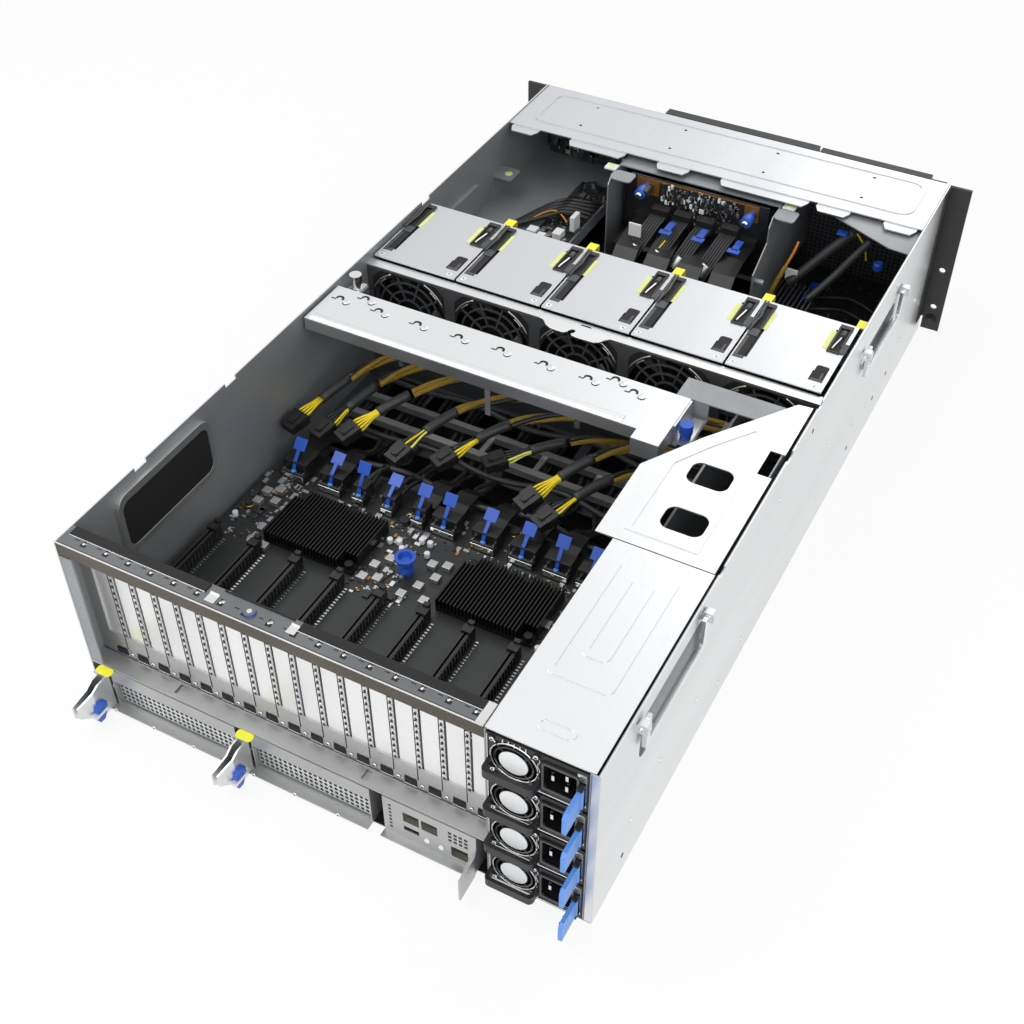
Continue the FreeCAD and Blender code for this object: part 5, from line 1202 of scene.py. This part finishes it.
@dataclass
class PowerLeads:
    """Eight card power leads: three bundles, a heat-shrink skin and eight wires fanning into the plug."""

    radius: float = 4.5
    bundle: float = 2.35
    wire: float = 0.95
    shrink: float = 4.5
    shrink_from: float = 58.0
    shrink_to: float = 20.0
    lay: float = 150.0
    pin_pitch: tuple = (3.7, 4.2)
    pin_size: float = 2.7
    gather: float = 0.42
    plug_length: float = 19.6
    colours: tuple = ("YYYYKYKK", "YKKKYKKK", "YYYYYYKK", "PKYKKYKK", "YYKKYKKK", "PKKKPWKW", "YYYYYYKK",
                      "YYKKKWKW")
    routes: tuple = (
        ((146, 10, 120), (118, 10, 120), (36, 7, 118), (-84, 6, 116), (-148, -12, 114), (-186, -58, 109),
         (-201, -122, 96)),
        ((146, 4, 102), (118, 4, 102), (34, 6, 104), (-76, 5, 103), (-132, -14, 106), (-164, -58, 103),
         (-178, -114, 90)),
        ((146, -6, 128), (118, -6, 128), (44, -9, 127), (-54, -13, 120), (-104, -40, 114), (-138, -84, 104),
         (-151, -112, 95)),
        ((146, -11, 110), (118, -11, 110), (44, -9, 113), (-16, -16, 112), (-66, -46, 108), (-90, -84, 102),
         (-99, -114, 94)),
        ((146, -23, 122), (118, -23, 122), (56, -27, 119), (4, -37, 114), (-36, -68, 108), (-57, -106, 98)),
        ((146, -25, 99), (118, -25, 99), (64, -29, 102), (22, -50, 104), (-14, -92, 99)),
        ((146, -39, 118), (120, -39, 118), (84, -46, 119), (50, -80, 113), (30, -118, 99)),
        ((146, -48, 99), (122, -48, 99), (96, -56, 103), (68, -90, 103), (50, -126, 93)),
    )

    def centreline(self, route: Sequence) -> Points:
        """Points read from a smooth spline with the route as its control points.

        Args:
            route: Control points in millimetres.

        Returns:
            Points along the spline in millimetres.
        """
        curve = bpy.data.curves.new("lead_line", "CURVE")
        curve.dimensions = "3D"
        curve.resolution_u = 14
        spline = curve.splines.new("NURBS")
        spline.points.add(len(route) - 1)
        spline.points.foreach_set("co", at(*(np.array(route) * MM).T, 1.0).ravel())
        spline.order_u = 3
        spline.use_endpoint_u = True
        holder = bpy.data.objects.new("lead_line", curve)
        mesh = bpy.data.meshes.new_from_object(holder)
        points = np.zeros(len(mesh.vertices) * 3)
        mesh.vertices.foreach_get("co", points)
        bpy.data.objects.remove(holder)
        bpy.data.curves.remove(curve)
        bpy.data.meshes.remove(mesh)
        return points.reshape(-1, 3) / MM

    def lead(self, number: int, route: Sequence) -> None:
        """One lead with its plug.

        Args:
            number: Number of the lead, from one.
            route: Control points of its centreline.
        """
        line = self.centreline(route)
        run = lengths(line)
        total = run[-1]
        along, across, over = frames(line, (0, 0, 1))

        def strand_path(offset: Points) -> Points:
            """Move the centreline by an offset across and over it."""
            return line + across * offset[:, :1] + over * offset[:, 1:]

        patch = Patch(f"power_lead_{number}")
        trunk = run < total - self.shrink_from + 3
        for strand, look in enumerate((Look.SLEEVE, Look.SLEEVE, Look.BLACK)):
            angle = (strand / 3 + run / self.lay + 0.13 * number) * TAU
            ring = (self.radius - self.bundle) * np.stack([np.cos(angle), np.sin(angle)], axis=-1)
            patch.tube(strand_path(ring)[trunk], self.bundle, look, 12)
        skin = (run > total - self.shrink_from) & (run < total - self.shrink_to)
        patch.tube(line[skin], self.shrink, Look.SHRINK, 16)
        fan = run > total - self.shrink_to - 8
        spread = np.clip((run - (total - self.shrink_to)) / self.shrink_to, 0, 1)[:, None]
        spread = spread * spread * (3 - 2 * spread)
        looks = {"Y": Look.WIRE, "K": Look.BLACK, "P": Look.PALE_WIRE, "W": Look.WHITE}
        for strand, colour in enumerate(self.colours[number - 1]):
            pin = np.array([strand % 4 - 1.5, 0.5 - strand // 4]) * self.pin_pitch
            offset = pin * (self.gather + (1 - self.gather) * spread)
            patch.tube(strand_path(offset)[fan], self.wire, looks[colour], 8)
        piece = patch.finish("chassis", "cable_black")
        if number == 1:
            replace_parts(piece, "gpu_power_leads")
        plug = self.plug(number, line[-1], np.stack([across[-1], over[-1], along[-1]]))

    def plug(self, number: int, end: Points, turn: Points) -> bpy.types.Object:
        """Eight-pin plug: a stepped housing with a latch, side ribs and rows of pin sockets.

        Args:
            number: Number of the lead.
            end: Where the wires enter.
            turn: Rows with the width, height and length directions.

        Returns:
            The plug's object.
        """
        patch = Patch(f"power_plug_{number}")
        patch.boxes([[-8.4, 8.4, -4.6, 4.6, 0, 12], [-7.6, 7.6, -4.2, 4.2, 12, self.plug_length],
                     [-3, 3, 4.6, 5.8, 3, 15], [-2, 2, 4.2, 6.6, 13, 15], [-8.9, -8.4, -3, 3, 1, 9],
                     [8.4, 8.9, -3, 3, 1, 9]], Look.BLACK)
        column, row = (cell.ravel() for cell in np.meshgrid(np.arange(4), np.arange(2), indexing="ij"))
        # The pin sockets at both ends are dark squares of painted shade
        for foot in (self.plug_length, -0.2):
            low = at((column - 1.5) * self.pin_pitch[0] - self.pin_size / 2,
                     (row - 0.5) * self.pin_pitch[1] - self.pin_size / 2, foot)
            patch.bricks(low, low + (self.pin_size, self.pin_size, 0.2), Look.DARK)
        patch.points = [block @ turn + end for block in patch.points]
        piece = patch.finish("chassis", "black_plastic", 0.3)
        if number == 1:
            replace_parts(piece, "gpu_power_plugs")
        return piece

    def build(self) -> None:
        """Make all the leads and plugs."""
        for number, route in enumerate(self.routes, 1):
            self.lead(number, route)


@dataclass
class RearPanel:
    """Rear details: slot cover combs, screens of the two modules, sockets, tags and lever catches."""

    cover_face: float = -385.3
    cover_back: float = -384.9
    comb_x: float = 17.6
    comb_first: float = 73.0
    comb_pitch: float = 6.9
    comb_holes: int = 13
    comb_hole: float = 1.25
    screen_pitch: float = 4.5
    screen_hole: float = 1.72
    catch: tuple = ((-425.5, 21), (-421, 23.6), (-417, 23.2), (-413.8, 19.6), (-415.4, 11), (-420, 4),
                    (-425.6, 4.6), (-427.4, 11.6))
    openings: tuple = ((68, 24, 13.5, 12), (83.5, 24, 13.5, 12), (108, 8, 14, 12))
    frame_width: float = 1.2

    def dress(self) -> None:
        """Give the rear's nodes their finishes."""
        SHOP.dress(REAR, "io_module_left", "io_module_right", "management_module")
        SHOP.dress(ZINC, "io_lever_left", "io_lever_right")
        SHOP.dress(ABS, "rear_button_1", "rear_button_2")

    def combs(self) -> None:
        """Gap and second comb of holes beside each slot cover, with the notch and screw at its foot; gap,
        holes and notch are painted shade.
        """
        patch = Patch("slot_cover_combs")
        for left, right, low, high, look, proud in ((15.0, 15.6, 56, 160, Look.DARK, 0.0),
                                                    (3.4, 14.2, 47.8, 53.0, Look.DARK, 0.0),
                                                    (3.4, 14.2, 46.6, 47.8, Look.SILVER, 0.5)):
            patch.row(SLOT_X + left, SLOT_X + right, self.cover_face - proud, self.cover_back, low, high,
                      look)
        heights = self.comb_first + self.comb_pitch * np.arange(self.comb_holes)
        x, z = np.meshgrid(SLOT_X + self.comb_x, heights, indexing="ij")
        patch.turned([(self.comb_hole, -0.3), (self.comb_hole, 0), (0.2, 0)],
                     at(x.ravel(), self.cover_face + 0.2, z.ravel()), Look.DARK, Axis.Y, 8, False)
        patch.screws(at(SLOT_X[:-1] + self.comb_x + 1, self.cover_face, 50.6), 1.9, Axis.Y, -1)
        patch.finish("chassis", "steel")

    def screens(self) -> None:
        """Perforated screens over the modules' faces, with painted shade behind them, lip screws and yellow
        tags.
        """
        for side in ("left", "right"):
            low, high = span(f"io_module_{side}")
            patch = Patch(f"module_screen_{side}", (low[0], REAR_Y, 0))
            wide = high[0] - low[0]
            x0, x1, z0, z1 = 12, wide - 4, 5.2, 29.4
            # Painted shade: a dark sheet behind the perforations and a dark patch at the recess's left end
            patch.boxes([[x0, x1, 2.86, 2.94, z0, z1], [3, 11, 2.7, 2.94, 8, 27]], Look.DARK)
            patch.perforated((x0, z0), (x1, z1), 1.9, 0.6, self.screen_pitch, self.screen_hole, Look.STEEL)
            patch.screws([7, 2.6, 17], 3.0, Axis.Y, -1)
            patch.screws([[x, -9.0, 3.4] for x in (13, 51, 90)], 1.8, Axis.Y, -1)
            patch.pushed(round_box(0.5, 15, -8.5, -0.5, 3.2), 43.5, 44.2, Look.YELLOW)
            patch.finish(f"io_{side}", "steel")

    def catches(self) -> None:
        """Curved blue thumb catches that hang at the cam levers."""
        for side in ("left", "right"):
            patch = Patch(f"lever_catch_{side}")
            right = span(f"io_lever_{side}")[1][0] - 1.6
            patch.pushed(self.catch, right - 6, right, Look.BLUE, Axis.X)
            patch.finish(f"lever_{side}", "blue_plastic", 0.9)

    def sockets(self) -> None:
        """Light frames and gold contacts of the management sockets."""
        patch = Patch("network_sockets", (0, REAR_Y, 0))
        rim = self.frame_width
        for x0, z0, wide, high in self.openings:
            outer = round_box(x0 - rim, x0 + wide + rim, z0 - rim, z0 + high + rim, 0.8)
            inner = round_box(x0, x0 + wide, z0, z0 + high, 0.8)
            patch.framed(outer[:, ::-1], inner[:, ::-1], -1.6, -1.1, Look.SILVER, Axis.Y)
            x = x0 + 2 + np.arange(8) * (wide - 4) / 7
            patch.row(x - 0.3, x + 0.3, 2.0, 11.0, z0 + 1.0, z0 + 1.4, Look.GOLD)
        patch.finish("management", "steel")

    def build(self) -> None:
        """Make every rear piece."""
        self.dress()
        self.combs()
        self.screens()
        self.catches()
        self.sockets()


@dataclass
class PowerSupplies:
    """Four power supplies: fan guard, pale hub, bright edges, inlet with its pins, and the latch's relief."""

    count: int = 4
    pitch: float = 43.2
    low: float = 1.8
    left: float = 138.6
    fan: tuple = (20.5, -0.6, 20.0)
    hub: float = 10.6
    hoops: tuple = (14.2, 17.4)
    wire: float = 0.6
    inlet: tuple = (42.5, 9)
    inlet_size: tuple = (23.5, 24)

    def supply(self, number: int) -> None:
        """One supply's hub, guard, bright edges, inlet and lock screw, from its low left corner at the rear.

        Args:
            number: Number from the bottom, from one.
        """
        corner = (self.left, REAR_Y, self.low + (number - 1) * self.pitch)
        patch = Patch(f"power_supply_face_{number}", corner)
        fan = np.array(self.fan)
        patch.turned([(self.hub, -0.9), (self.hub, 0), (3.0, 0.2)], fan - (0, 0.2, 0), Look.WHITE, Axis.Y, 36)
        for radius in self.hoops:
            patch.tube(hoop(fan, radius), self.wire + 0.02, Look.SILVER, 8, up=(0, 1, 0))
        for turn in range(4):
            angle = (turn + 0.5) * TAU / 4
            aim = np.array([math.cos(angle), 0, math.sin(angle)])
            patch.tube(fan + np.linspace(10.4, 21.5, 5)[:, None] * aim, self.wire, Look.SILVER, 6,
                       up=(0, 1, 0))
            patch.screws(fan + 22.6 * aim - (0, 0.1, 0), 2.0, Axis.Y, -1)
        bars = 12 + 4.2 * np.arange(5)
        patch.row(bars, bars + 0.9, -1.0, -0.4, 36, 39.4, Look.SILVER)
        patch.boxes([[1, 36, -0.8, -0.1, 0.4, 1.3], [0.4, 1.1, -0.8, -0.1, 1, 39],
                     [71.8, 72.6, -0.8, -0.1, 5, 36], [38, 66, -0.8, -0.1, 0.5, 1.6]], Look.SILVER)
        height = np.linspace(1.5, 38.5, 26)
        wave = at(38.4 + 0.9 * np.sin(height * 0.62), -0.5, height)
        patch.tube(wave, 0.55, Look.SILVER, 6, up=(0, 1, 0))
        (left, foot), (wide, high) = self.inlet, self.inlet_size
        patch.framed(round_box(foot - 1.6, foot + high + 1.6, left - 1.6, left + wide + 1.6, 2.4),
                     round_box(foot, foot + high, left, left + wide, 1.6), -1.9, -0.1, Look.PEWTER, Axis.Y)
        patch.boxes([[left + x, left + x + 2, -0.4, 4, foot + z, foot + z + 5]
                     for x, z in ((5, 9.5), (15, 15), (15, 4))], Look.SILVER)
        patch.boxes([66, 72.4, -1.0, -0.2, 31, 38], Look.STEEL)
        patch.screws([69.3, -1.0, 34.5], 2.0, Axis.Y, -1, Look.PEWTER)
        patch.finish(f"power_supply_{number}", "steel")

    def latch_relief(self, number: int) -> None:
        """Three raised rectangles, one over the other, on the face of a supply's latch."""
        low, _ = span(f"psu_latch_{number}")
        patch = Patch(f"latch_relief_{number}", tuple(low))
        foot = 5.4 + 4.2 * np.arange(3)
        for near, far, rise in ((3, 4, 3.4), (8.6, 9.6, 3.4), (3, 9.6, 0.8)):
            patch.row(-0.35, 0, near, far, foot, foot + rise, Look.BLUE)
        patch.finish(f"power_latch_{number}", "blue_plastic", 0.15)

    def build(self) -> None:
        """Make every supply's pieces and dress its nodes."""
        for number in range(1, self.count + 1):
            SHOP.dress(SUPPLY, f"psu_{number}")
            SHOP.dress(PALE_POLYCARBONATE, f"psu_latch_{number}")
            self.supply(number)
            self.latch_relief(number)


def hoop(centre: Points, radius: float, steps: int = 40) -> Points:
    """Circle of points that faces along Y and closes on itself."""
    angle = np.linspace(0, TAU, steps)
    return centre + radius * at(np.cos(angle), 0, np.sin(angle))


@dataclass
class FrontBay:
    """Drive bay and main board seen past the fans: backplane, sockets, ribbons, cables and touch points."""

    backplane_y: float = 276.9
    parts: int = 260
    ribbon_places: tuple = (-30, -6, 18, 44)
    socket_half: float = 9.0
    strands: int = 6
    strand: float = 1.5
    collar: float = 5.2
    ribbon_line: tuple = ((0, 262, 138), (-1, 252, 137), (-4, 240, 130), (-10, 228, 116), (-18, 216, 98),
                          (-28, 204, 74), (-34, 190, 56))
    pull_tabs: tuple = ((-11, 240), (22, 243), (60, 240))
    right_cables: tuple = (
        (((155, 301, 150), (148, 299, 142), (137, 294, 130), (122, 284, 112), (106, 270, 95)), 5, Look.SHRINK,
         26, 14),
        (((172, 300, 146), (160, 292, 128), (146, 280, 106), (130, 262, 88)), 4, Look.SHRINK, 22, 12),
        (((159, 297, 152), (164, 300, 144), (168, 304, 134), (170, 306, 120)), 1.0, Look.WIRE, 16, 8),
        (((109, 277, 140), (108, 272, 132), (104, 266, 120), (100, 258, 106)), 1.4, Look.ORANGE, 16, 8),
        (((104, 264, 118), (101, 259, 110), (98.6, 255, 102), (96, 250, 92)), 2.4, Look.SLEEVE, 16, 10))
    right_board: tuple = (92, 210, 232, 380, 46, 47.6)
    left_shelf: tuple = (-148, -110, 190, 330, 105.3, 106.6)
    left_card: tuple = (-208, -92, 372, 373.4, 106, 160)
    screens: tuple = ((-212, -86, 148), (86, 212, 148), (-85, 85, 80))
    screen_low: float = 6.0
    screen_y: float = 386.6
    screen_pitch: float = 4.6
    screen_hole: float = 1.6

    def dress(self) -> None:
        """Give the bay's nodes their finishes."""
        SHOP.dress(MASK, "drive_backplane")
        SHOP.dress(NYLON, "drive_carriers")
        SHOP.dress(MASK, "motherboard")
        SHOP.dress(ALUMINIUM, "cpu_heatsinks")

    def backplane(self) -> None:
        """Copper lands, small upright parts, nickel thumbscrews with blue knobs and white pads."""
        low, high = span("drive_backplane")
        y, top = self.backplane_y, high[2]
        patch = Patch("backplane_details")
        patch.boxes([[-63, -39, y - 0.3, y, 147, 165], [51, 66, y - 0.3, y, 147, 165],
                     [-39, 51, y - 0.3, y, 163, 165]], Look.COPPER)
        for x in (low[0] + 22, high[0] - 16):
            knob = [x, 277, top - 9]
            patch.turned([(5.6, -20), (5.6, -10), (4.4, -9), (4.4, -6), (3.2, -5), (3.2, 0)], knob, Look.BLUE,
                         Axis.Y, 20)
            patch.turned([(2.2, -24), (3.4, -23), (3.4, -20)], knob, Look.SILVER, Axis.Y, 16)
        rng = np.random.default_rng(SEED + 1)
        x = rng.uniform(-36, 48, self.parts)
        z = rng.uniform(top - 42, top - 3, self.parts)
        half = rng.choice([0.5, 0.8, 1.3], self.parts)
        feet, tops = at(x - half, y - 1.2, z - half * 1.9), at(x + half, y, z + half * 1.9)
        kind = rng.integers(0, 4, self.parts)
        for value, look in enumerate((Look.SILVER, Look.CHIP, Look.WHITE, Look.GREY)):
            patch.bricks(feet[kind == value], tops[kind == value], look)
        patch.boxes([[-97, -85, 271, 281, 166.2, 168.2], [86.5, 98.5, 282, 292, 166.2, 168.2]], Look.WHITE)
        patch.turned([(3.2, 0), (3.2, 0.5), (0.3, 0.6)], [[-91, 276, 168.2], [92.5, 287, 168.2]], Look.LIME,
                     sides=18)
        patch.finish("chassis", "black_plastic", 0.15)

    def ribbons(self) -> None:
        """Black ribbons curving from the backplane's sockets, with collars, pull tabs and a bare label."""
        patch = Patch("backplane_ribbons")
        for x in self.ribbon_places:
            line = np.array(self.ribbon_line, float) + (x, 0, 0)
            for shift in np.linspace(-7, 7, self.strands):
                patch.cable(line + (shift, 0, 0), self.strand, Look.SHRINK, 18, 6)
            patch.tube(smooth_path(line, 18)[8:11], self.collar, Look.GREY, 14)
            patch.boxes([x - self.socket_half, x + self.socket_half, 258, 268, 131, 145], Look.BLACK)
        for x, y in self.pull_tabs:
            patch.boxes([[x - 3.4, x + 3.4, y - 8, y + 10, 140, 141.2],
                         [x - 6, x + 6, y - 13, y - 6, 140, 141.2]], Look.BLUE)
        patch.boxes([-50, -37, 231, 233, 126, 140], Look.WHITE)
        patch.cable([[-12, 236, 128], [-18, 230, 118], [-24, 214, 104], [-40, 204, 92]], 1.0,
                    Look.WIRE, 18, 8)
        patch.finish("chassis", "cable_black", 0.2)

    def right_bay(self) -> None:
        """Braided cable, loose wires, tabs and latches in the bay to the right of the backplane."""
        patch = Patch("right_bay_cables")
        for cable in self.right_cables:
            patch.cable(*cable)
        patch.boxes([102, 114, 272, 274, 98, 110], Look.WHITE)
        patch.boxes([[141, 151, 288, 296, 151, 153], [115, 123, 322, 330, 58, 63],
                     [114.5, 122.5, 301, 309, 58, 63]], Look.BLUE)
        patch.turned([(5, 0), (5, 6), (4, 7.5), (0.4, 7.5)], [184, 300, 118], Look.BLUE, sides=20)
        for y in (270, 292, 314):
            patch.cable([[112, y, 52], [138, y - 8, 66], [168, y + 8, 64], [206, y - 4, 50]], 2.2,
                        Look.BLACK, 18, 8)
        patch.boxes(self.right_board, Look.BOARD)
        rng = np.random.default_rng(SEED + 2)
        spot = at(rng.uniform(94, 206, 180), rng.uniform(234, 378, 180), self.right_board[5])
        half = rng.choice([0.7, 1.2, 2.4], (180, 1), p=[0.5, 0.35, 0.15]) * (1, 1.5, 0)
        patch.bricks(spot - half, spot + half + (0, 0, 1.4), Look.CHIP)
        spot, half = spot[::3], half[::3] * 0.7
        patch.bricks(spot - half + (3, 1, 0), spot + half + (3, 1, 1.2), Look.SILVER)
        patch.finish("chassis", "cable_black", 0.3)

    def left_bay(self) -> None:
        """Board, upright parts, cables and white plugs on the shelf to the left of the backplane."""
        patch = Patch("left_bay_parts")
        patch.boxes([self.left_shelf, self.left_card], Look.BOARD)
        rng = np.random.default_rng(SEED + 3)
        place = at(rng.uniform(-206, -94, 150), self.left_card[2] - 1, rng.uniform(107, 150, 150))
        half = rng.choice([1.0, 1.8, 3.0], (150, 1), p=[0.5, 0.3, 0.2]) * (1, 0.6, 1.6)
        for part, look in enumerate((Look.CHIP, Look.PEWTER, Look.SILVER, Look.CHIP, Look.DARK)):
            patch.bricks((place - half)[part::5], (place + half)[part::5], look)
        spot = at(rng.uniform(-146, -112, 90), rng.uniform(192, 328, 90), self.left_shelf[5])
        half = rng.choice([0.8, 1.4, 2.6], (90, 1)) * (1, 1.4, 0)
        patch.bricks(spot - half, spot + half + (0, 0, 2.2), Look.CHIP)
        spot, half = spot[::2], half[::2]
        patch.bricks(spot - half + (4, 2, 0), spot + half + (4, 2, 3.0), Look.SILVER)
        for shift in range(5):
            patch.cable([[-104, 250 + 8 * shift, 118], [-122, 244 + 5 * shift, 126],
                         [-142, 240 + 9 * shift, 116], [-160, 226 + 6 * shift, 112], [-176, 214, 108]],
                        2.3, Look.BLACK, 20, 8)
        patch.cable([[-120, 236, 116], [-132, 244, 124], [-150, 240, 118], [-164, 226, 108]], 0.9,
                    Look.ORANGE, 16, 6)
        patch.boxes([[-126, -117, 214, 226, 108, 115], [-140, -132, 204, 214, 108, 113],
                     [-115, -110, 232, 246, 110, 126], [-154, -144, 212, 222, 107, 112]], Look.WHITE)
        patch.turned([(4.2, 0), (4.2, 0.5), (0.3, 0.6)], [-205, 270, 131.2], Look.LIME, sides=18)
        patch.finish("chassis", "cable_black", 0.25)

    def screen(self) -> None:
        """Fine perforated sheet behind the front panel, beside and under the drives: the sheet and the dark
        layer behind it are painted shade.
        """
        patch = Patch("front_screens")
        y, z0 = self.screen_y, self.screen_low
        for x0, x1, z1 in self.screens:
            patch.perforated((x0, z0), (x1, z1), y, 0.5, self.screen_pitch, self.screen_hole, Look.SHEET)
            # Painted shade behind the perforated sheet
            patch.boxes([x0, x1, y + 0.7, y + 1, z0, z1], Look.DARK)
        patch.finish("chassis", "black_sheet")

    def build(self) -> None:
        """Make every piece of the front bay."""
        self.dress()
        self.backplane()
        self.ribbons()
        self.right_bay()
        self.left_bay()
        self.screen()


@dataclass
class Studio:
    """White cove, soft lights and the camera of the photograph."""

    azimuth: float = 28.348
    elevation: float = 43.862
    roll: float = -0.290
    distance: float = 1.17767
    target: tuple = (0.01606, -0.13643, 0.087)
    lens: float = 49.956
    lamps: tuple = (("key", (-1.2, -0.6, 2.2), 1.8, 26.0), ("fill", (1.9, -1.4, 1.5), 1.6, 18.0),
                    ("rim", (0.2, 2.0, 1.6), 1.4, 10.0), ("front", (0.3, -2.4, 0.9), 1.6, 14.0))

    def camera(self) -> None:
        """Place the camera by its azimuth, elevation and distance from the target."""
        turn, rise = math.radians(self.azimuth), math.radians(self.elevation)
        back = Vector((math.sin(turn) * math.cos(rise), -math.cos(turn) * math.cos(rise), math.sin(rise)))
        data = bpy.data.cameras.new("camera")
        data.lens = self.lens
        data.sensor_width = 36.0
        data.clip_start, data.clip_end = 0.05, 50.0
        eye = bpy.data.objects.new("camera", data)
        look = (-back).to_track_quat("-Z", "Y").to_matrix() @ Matrix.Rotation(math.radians(self.roll), 3, "Z")
        eye.matrix_world = Matrix.Translation(Vector(self.target) + back * self.distance) @ look.to_4x4()
        bpy.context.scene.collection.objects.link(eye)
        bpy.context.scene.camera = eye

    def floor(self) -> None:
        """Round pale floor that shows white to the eye and keeps a soft shadow."""
        patch = Patch("floor")
        patch.turned([(3000, -2.0), (3000, -0.5), (2990, 0.0)], [[0, 0, 0]], Look.WHITE, sides=64)
        floor = patch.finish("chassis", "steel")
        floor.parent = None
        floor.data.materials.clear()
        floor.data.materials.append(compose("white studio floor", self.floor_shader))
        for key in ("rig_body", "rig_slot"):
            del floor[key]

    def floor_shader(self, add: Callable) -> bpy.types.Node:
        """Mix diffuse paint with a white glow that only the eye and mirrors see.

        Args:
            add: Function that adds a node to the material.

        Returns:
            The last node of the surface.
        """
        sight = add("LightPath")
        paint = add("BsdfDiffuse", {"Color": linear("f2f2f2")})
        glow = add("Emission", {"Color": (1, 1, 1, 1), "Strength": 1.0})
        seen = add("Math", {0: sight.outputs["Is Camera Ray"], 1: sight.outputs["Is Glossy Ray"]},
                   operation="MAXIMUM")
        share = add("Math", {0: seen.outputs[0], 1: 0.86}, operation="MULTIPLY")
        return add("MixShader", {0: share.outputs[0], 1: paint.outputs[0], 2: glow.outputs[0]})

    def lamp(self, name: str, place: Sequence, size: float, watts: float) -> None:
        """Square softbox that faces the middle of the object.

        Args:
            name: Name of the lamp.
            place: Position in metres.
            size: Side of the box in metres.
            watts: Power.
        """
        data = bpy.data.lights.new(name, "AREA")
        data.size = size
        data.energy = watts
        lamp = bpy.data.objects.new(name, data)
        lamp.location = place
        lamp.rotation_mode = "QUATERNION"
        lamp.rotation_quaternion = (Vector((0, 0, 0.1)) - Vector(place)).to_track_quat("-Z", "Y")
        bpy.context.scene.collection.objects.link(lamp)

    def world(self) -> None:
        """White surround: full white to the eye and in reflections, dimmer as light."""
        world = bpy.data.worlds.new("studio")
        bpy.context.scene.world = world
        world.use_nodes = True
        world.node_tree.nodes.clear()
        add = partial(add_node, world.node_tree)
        sight = add("LightPath")
        soft = add("Background", {"Color": (1, 1, 1, 1), "Strength": 0.55})
        clear = add("Background", {"Color": (1, 1, 1, 1), "Strength": 1.0})
        seen = add("Math", {0: sight.outputs["Is Camera Ray"], 1: sight.outputs["Is Glossy Ray"]},
                   operation="MAXIMUM")
        mixed = add("MixShader", {0: seen.outputs[0], 1: soft.outputs[0], 2: clear.outputs[0]})
        add("OutputWorld", {"Surface": mixed.outputs[0]})

    def build(self) -> None:
        """Set up the floor, lights, world and camera."""
        bpy.context.scene.view_settings.view_transform = "Standard"
        self.floor()
        self.world()
        for lamp in self.lamps:
            self.lamp(*lamp)
        self.camera()


def main() -> None:
    """Build the studio and every sub-assembly in order."""
    logging.basicConfig(level=logging.INFO, format="%(name)s %(message)s")
    for part in (Studio(), PowerLeads(), Chassis(), SupportBar(), FanSection(), CardBay(), TrayCables(),
                 RearPanel(), PowerSupplies(), FrontBay()):
        part.build()
        LOG.info("built %s", type(part).__name__)


if __name__ == "__main__":
    main()
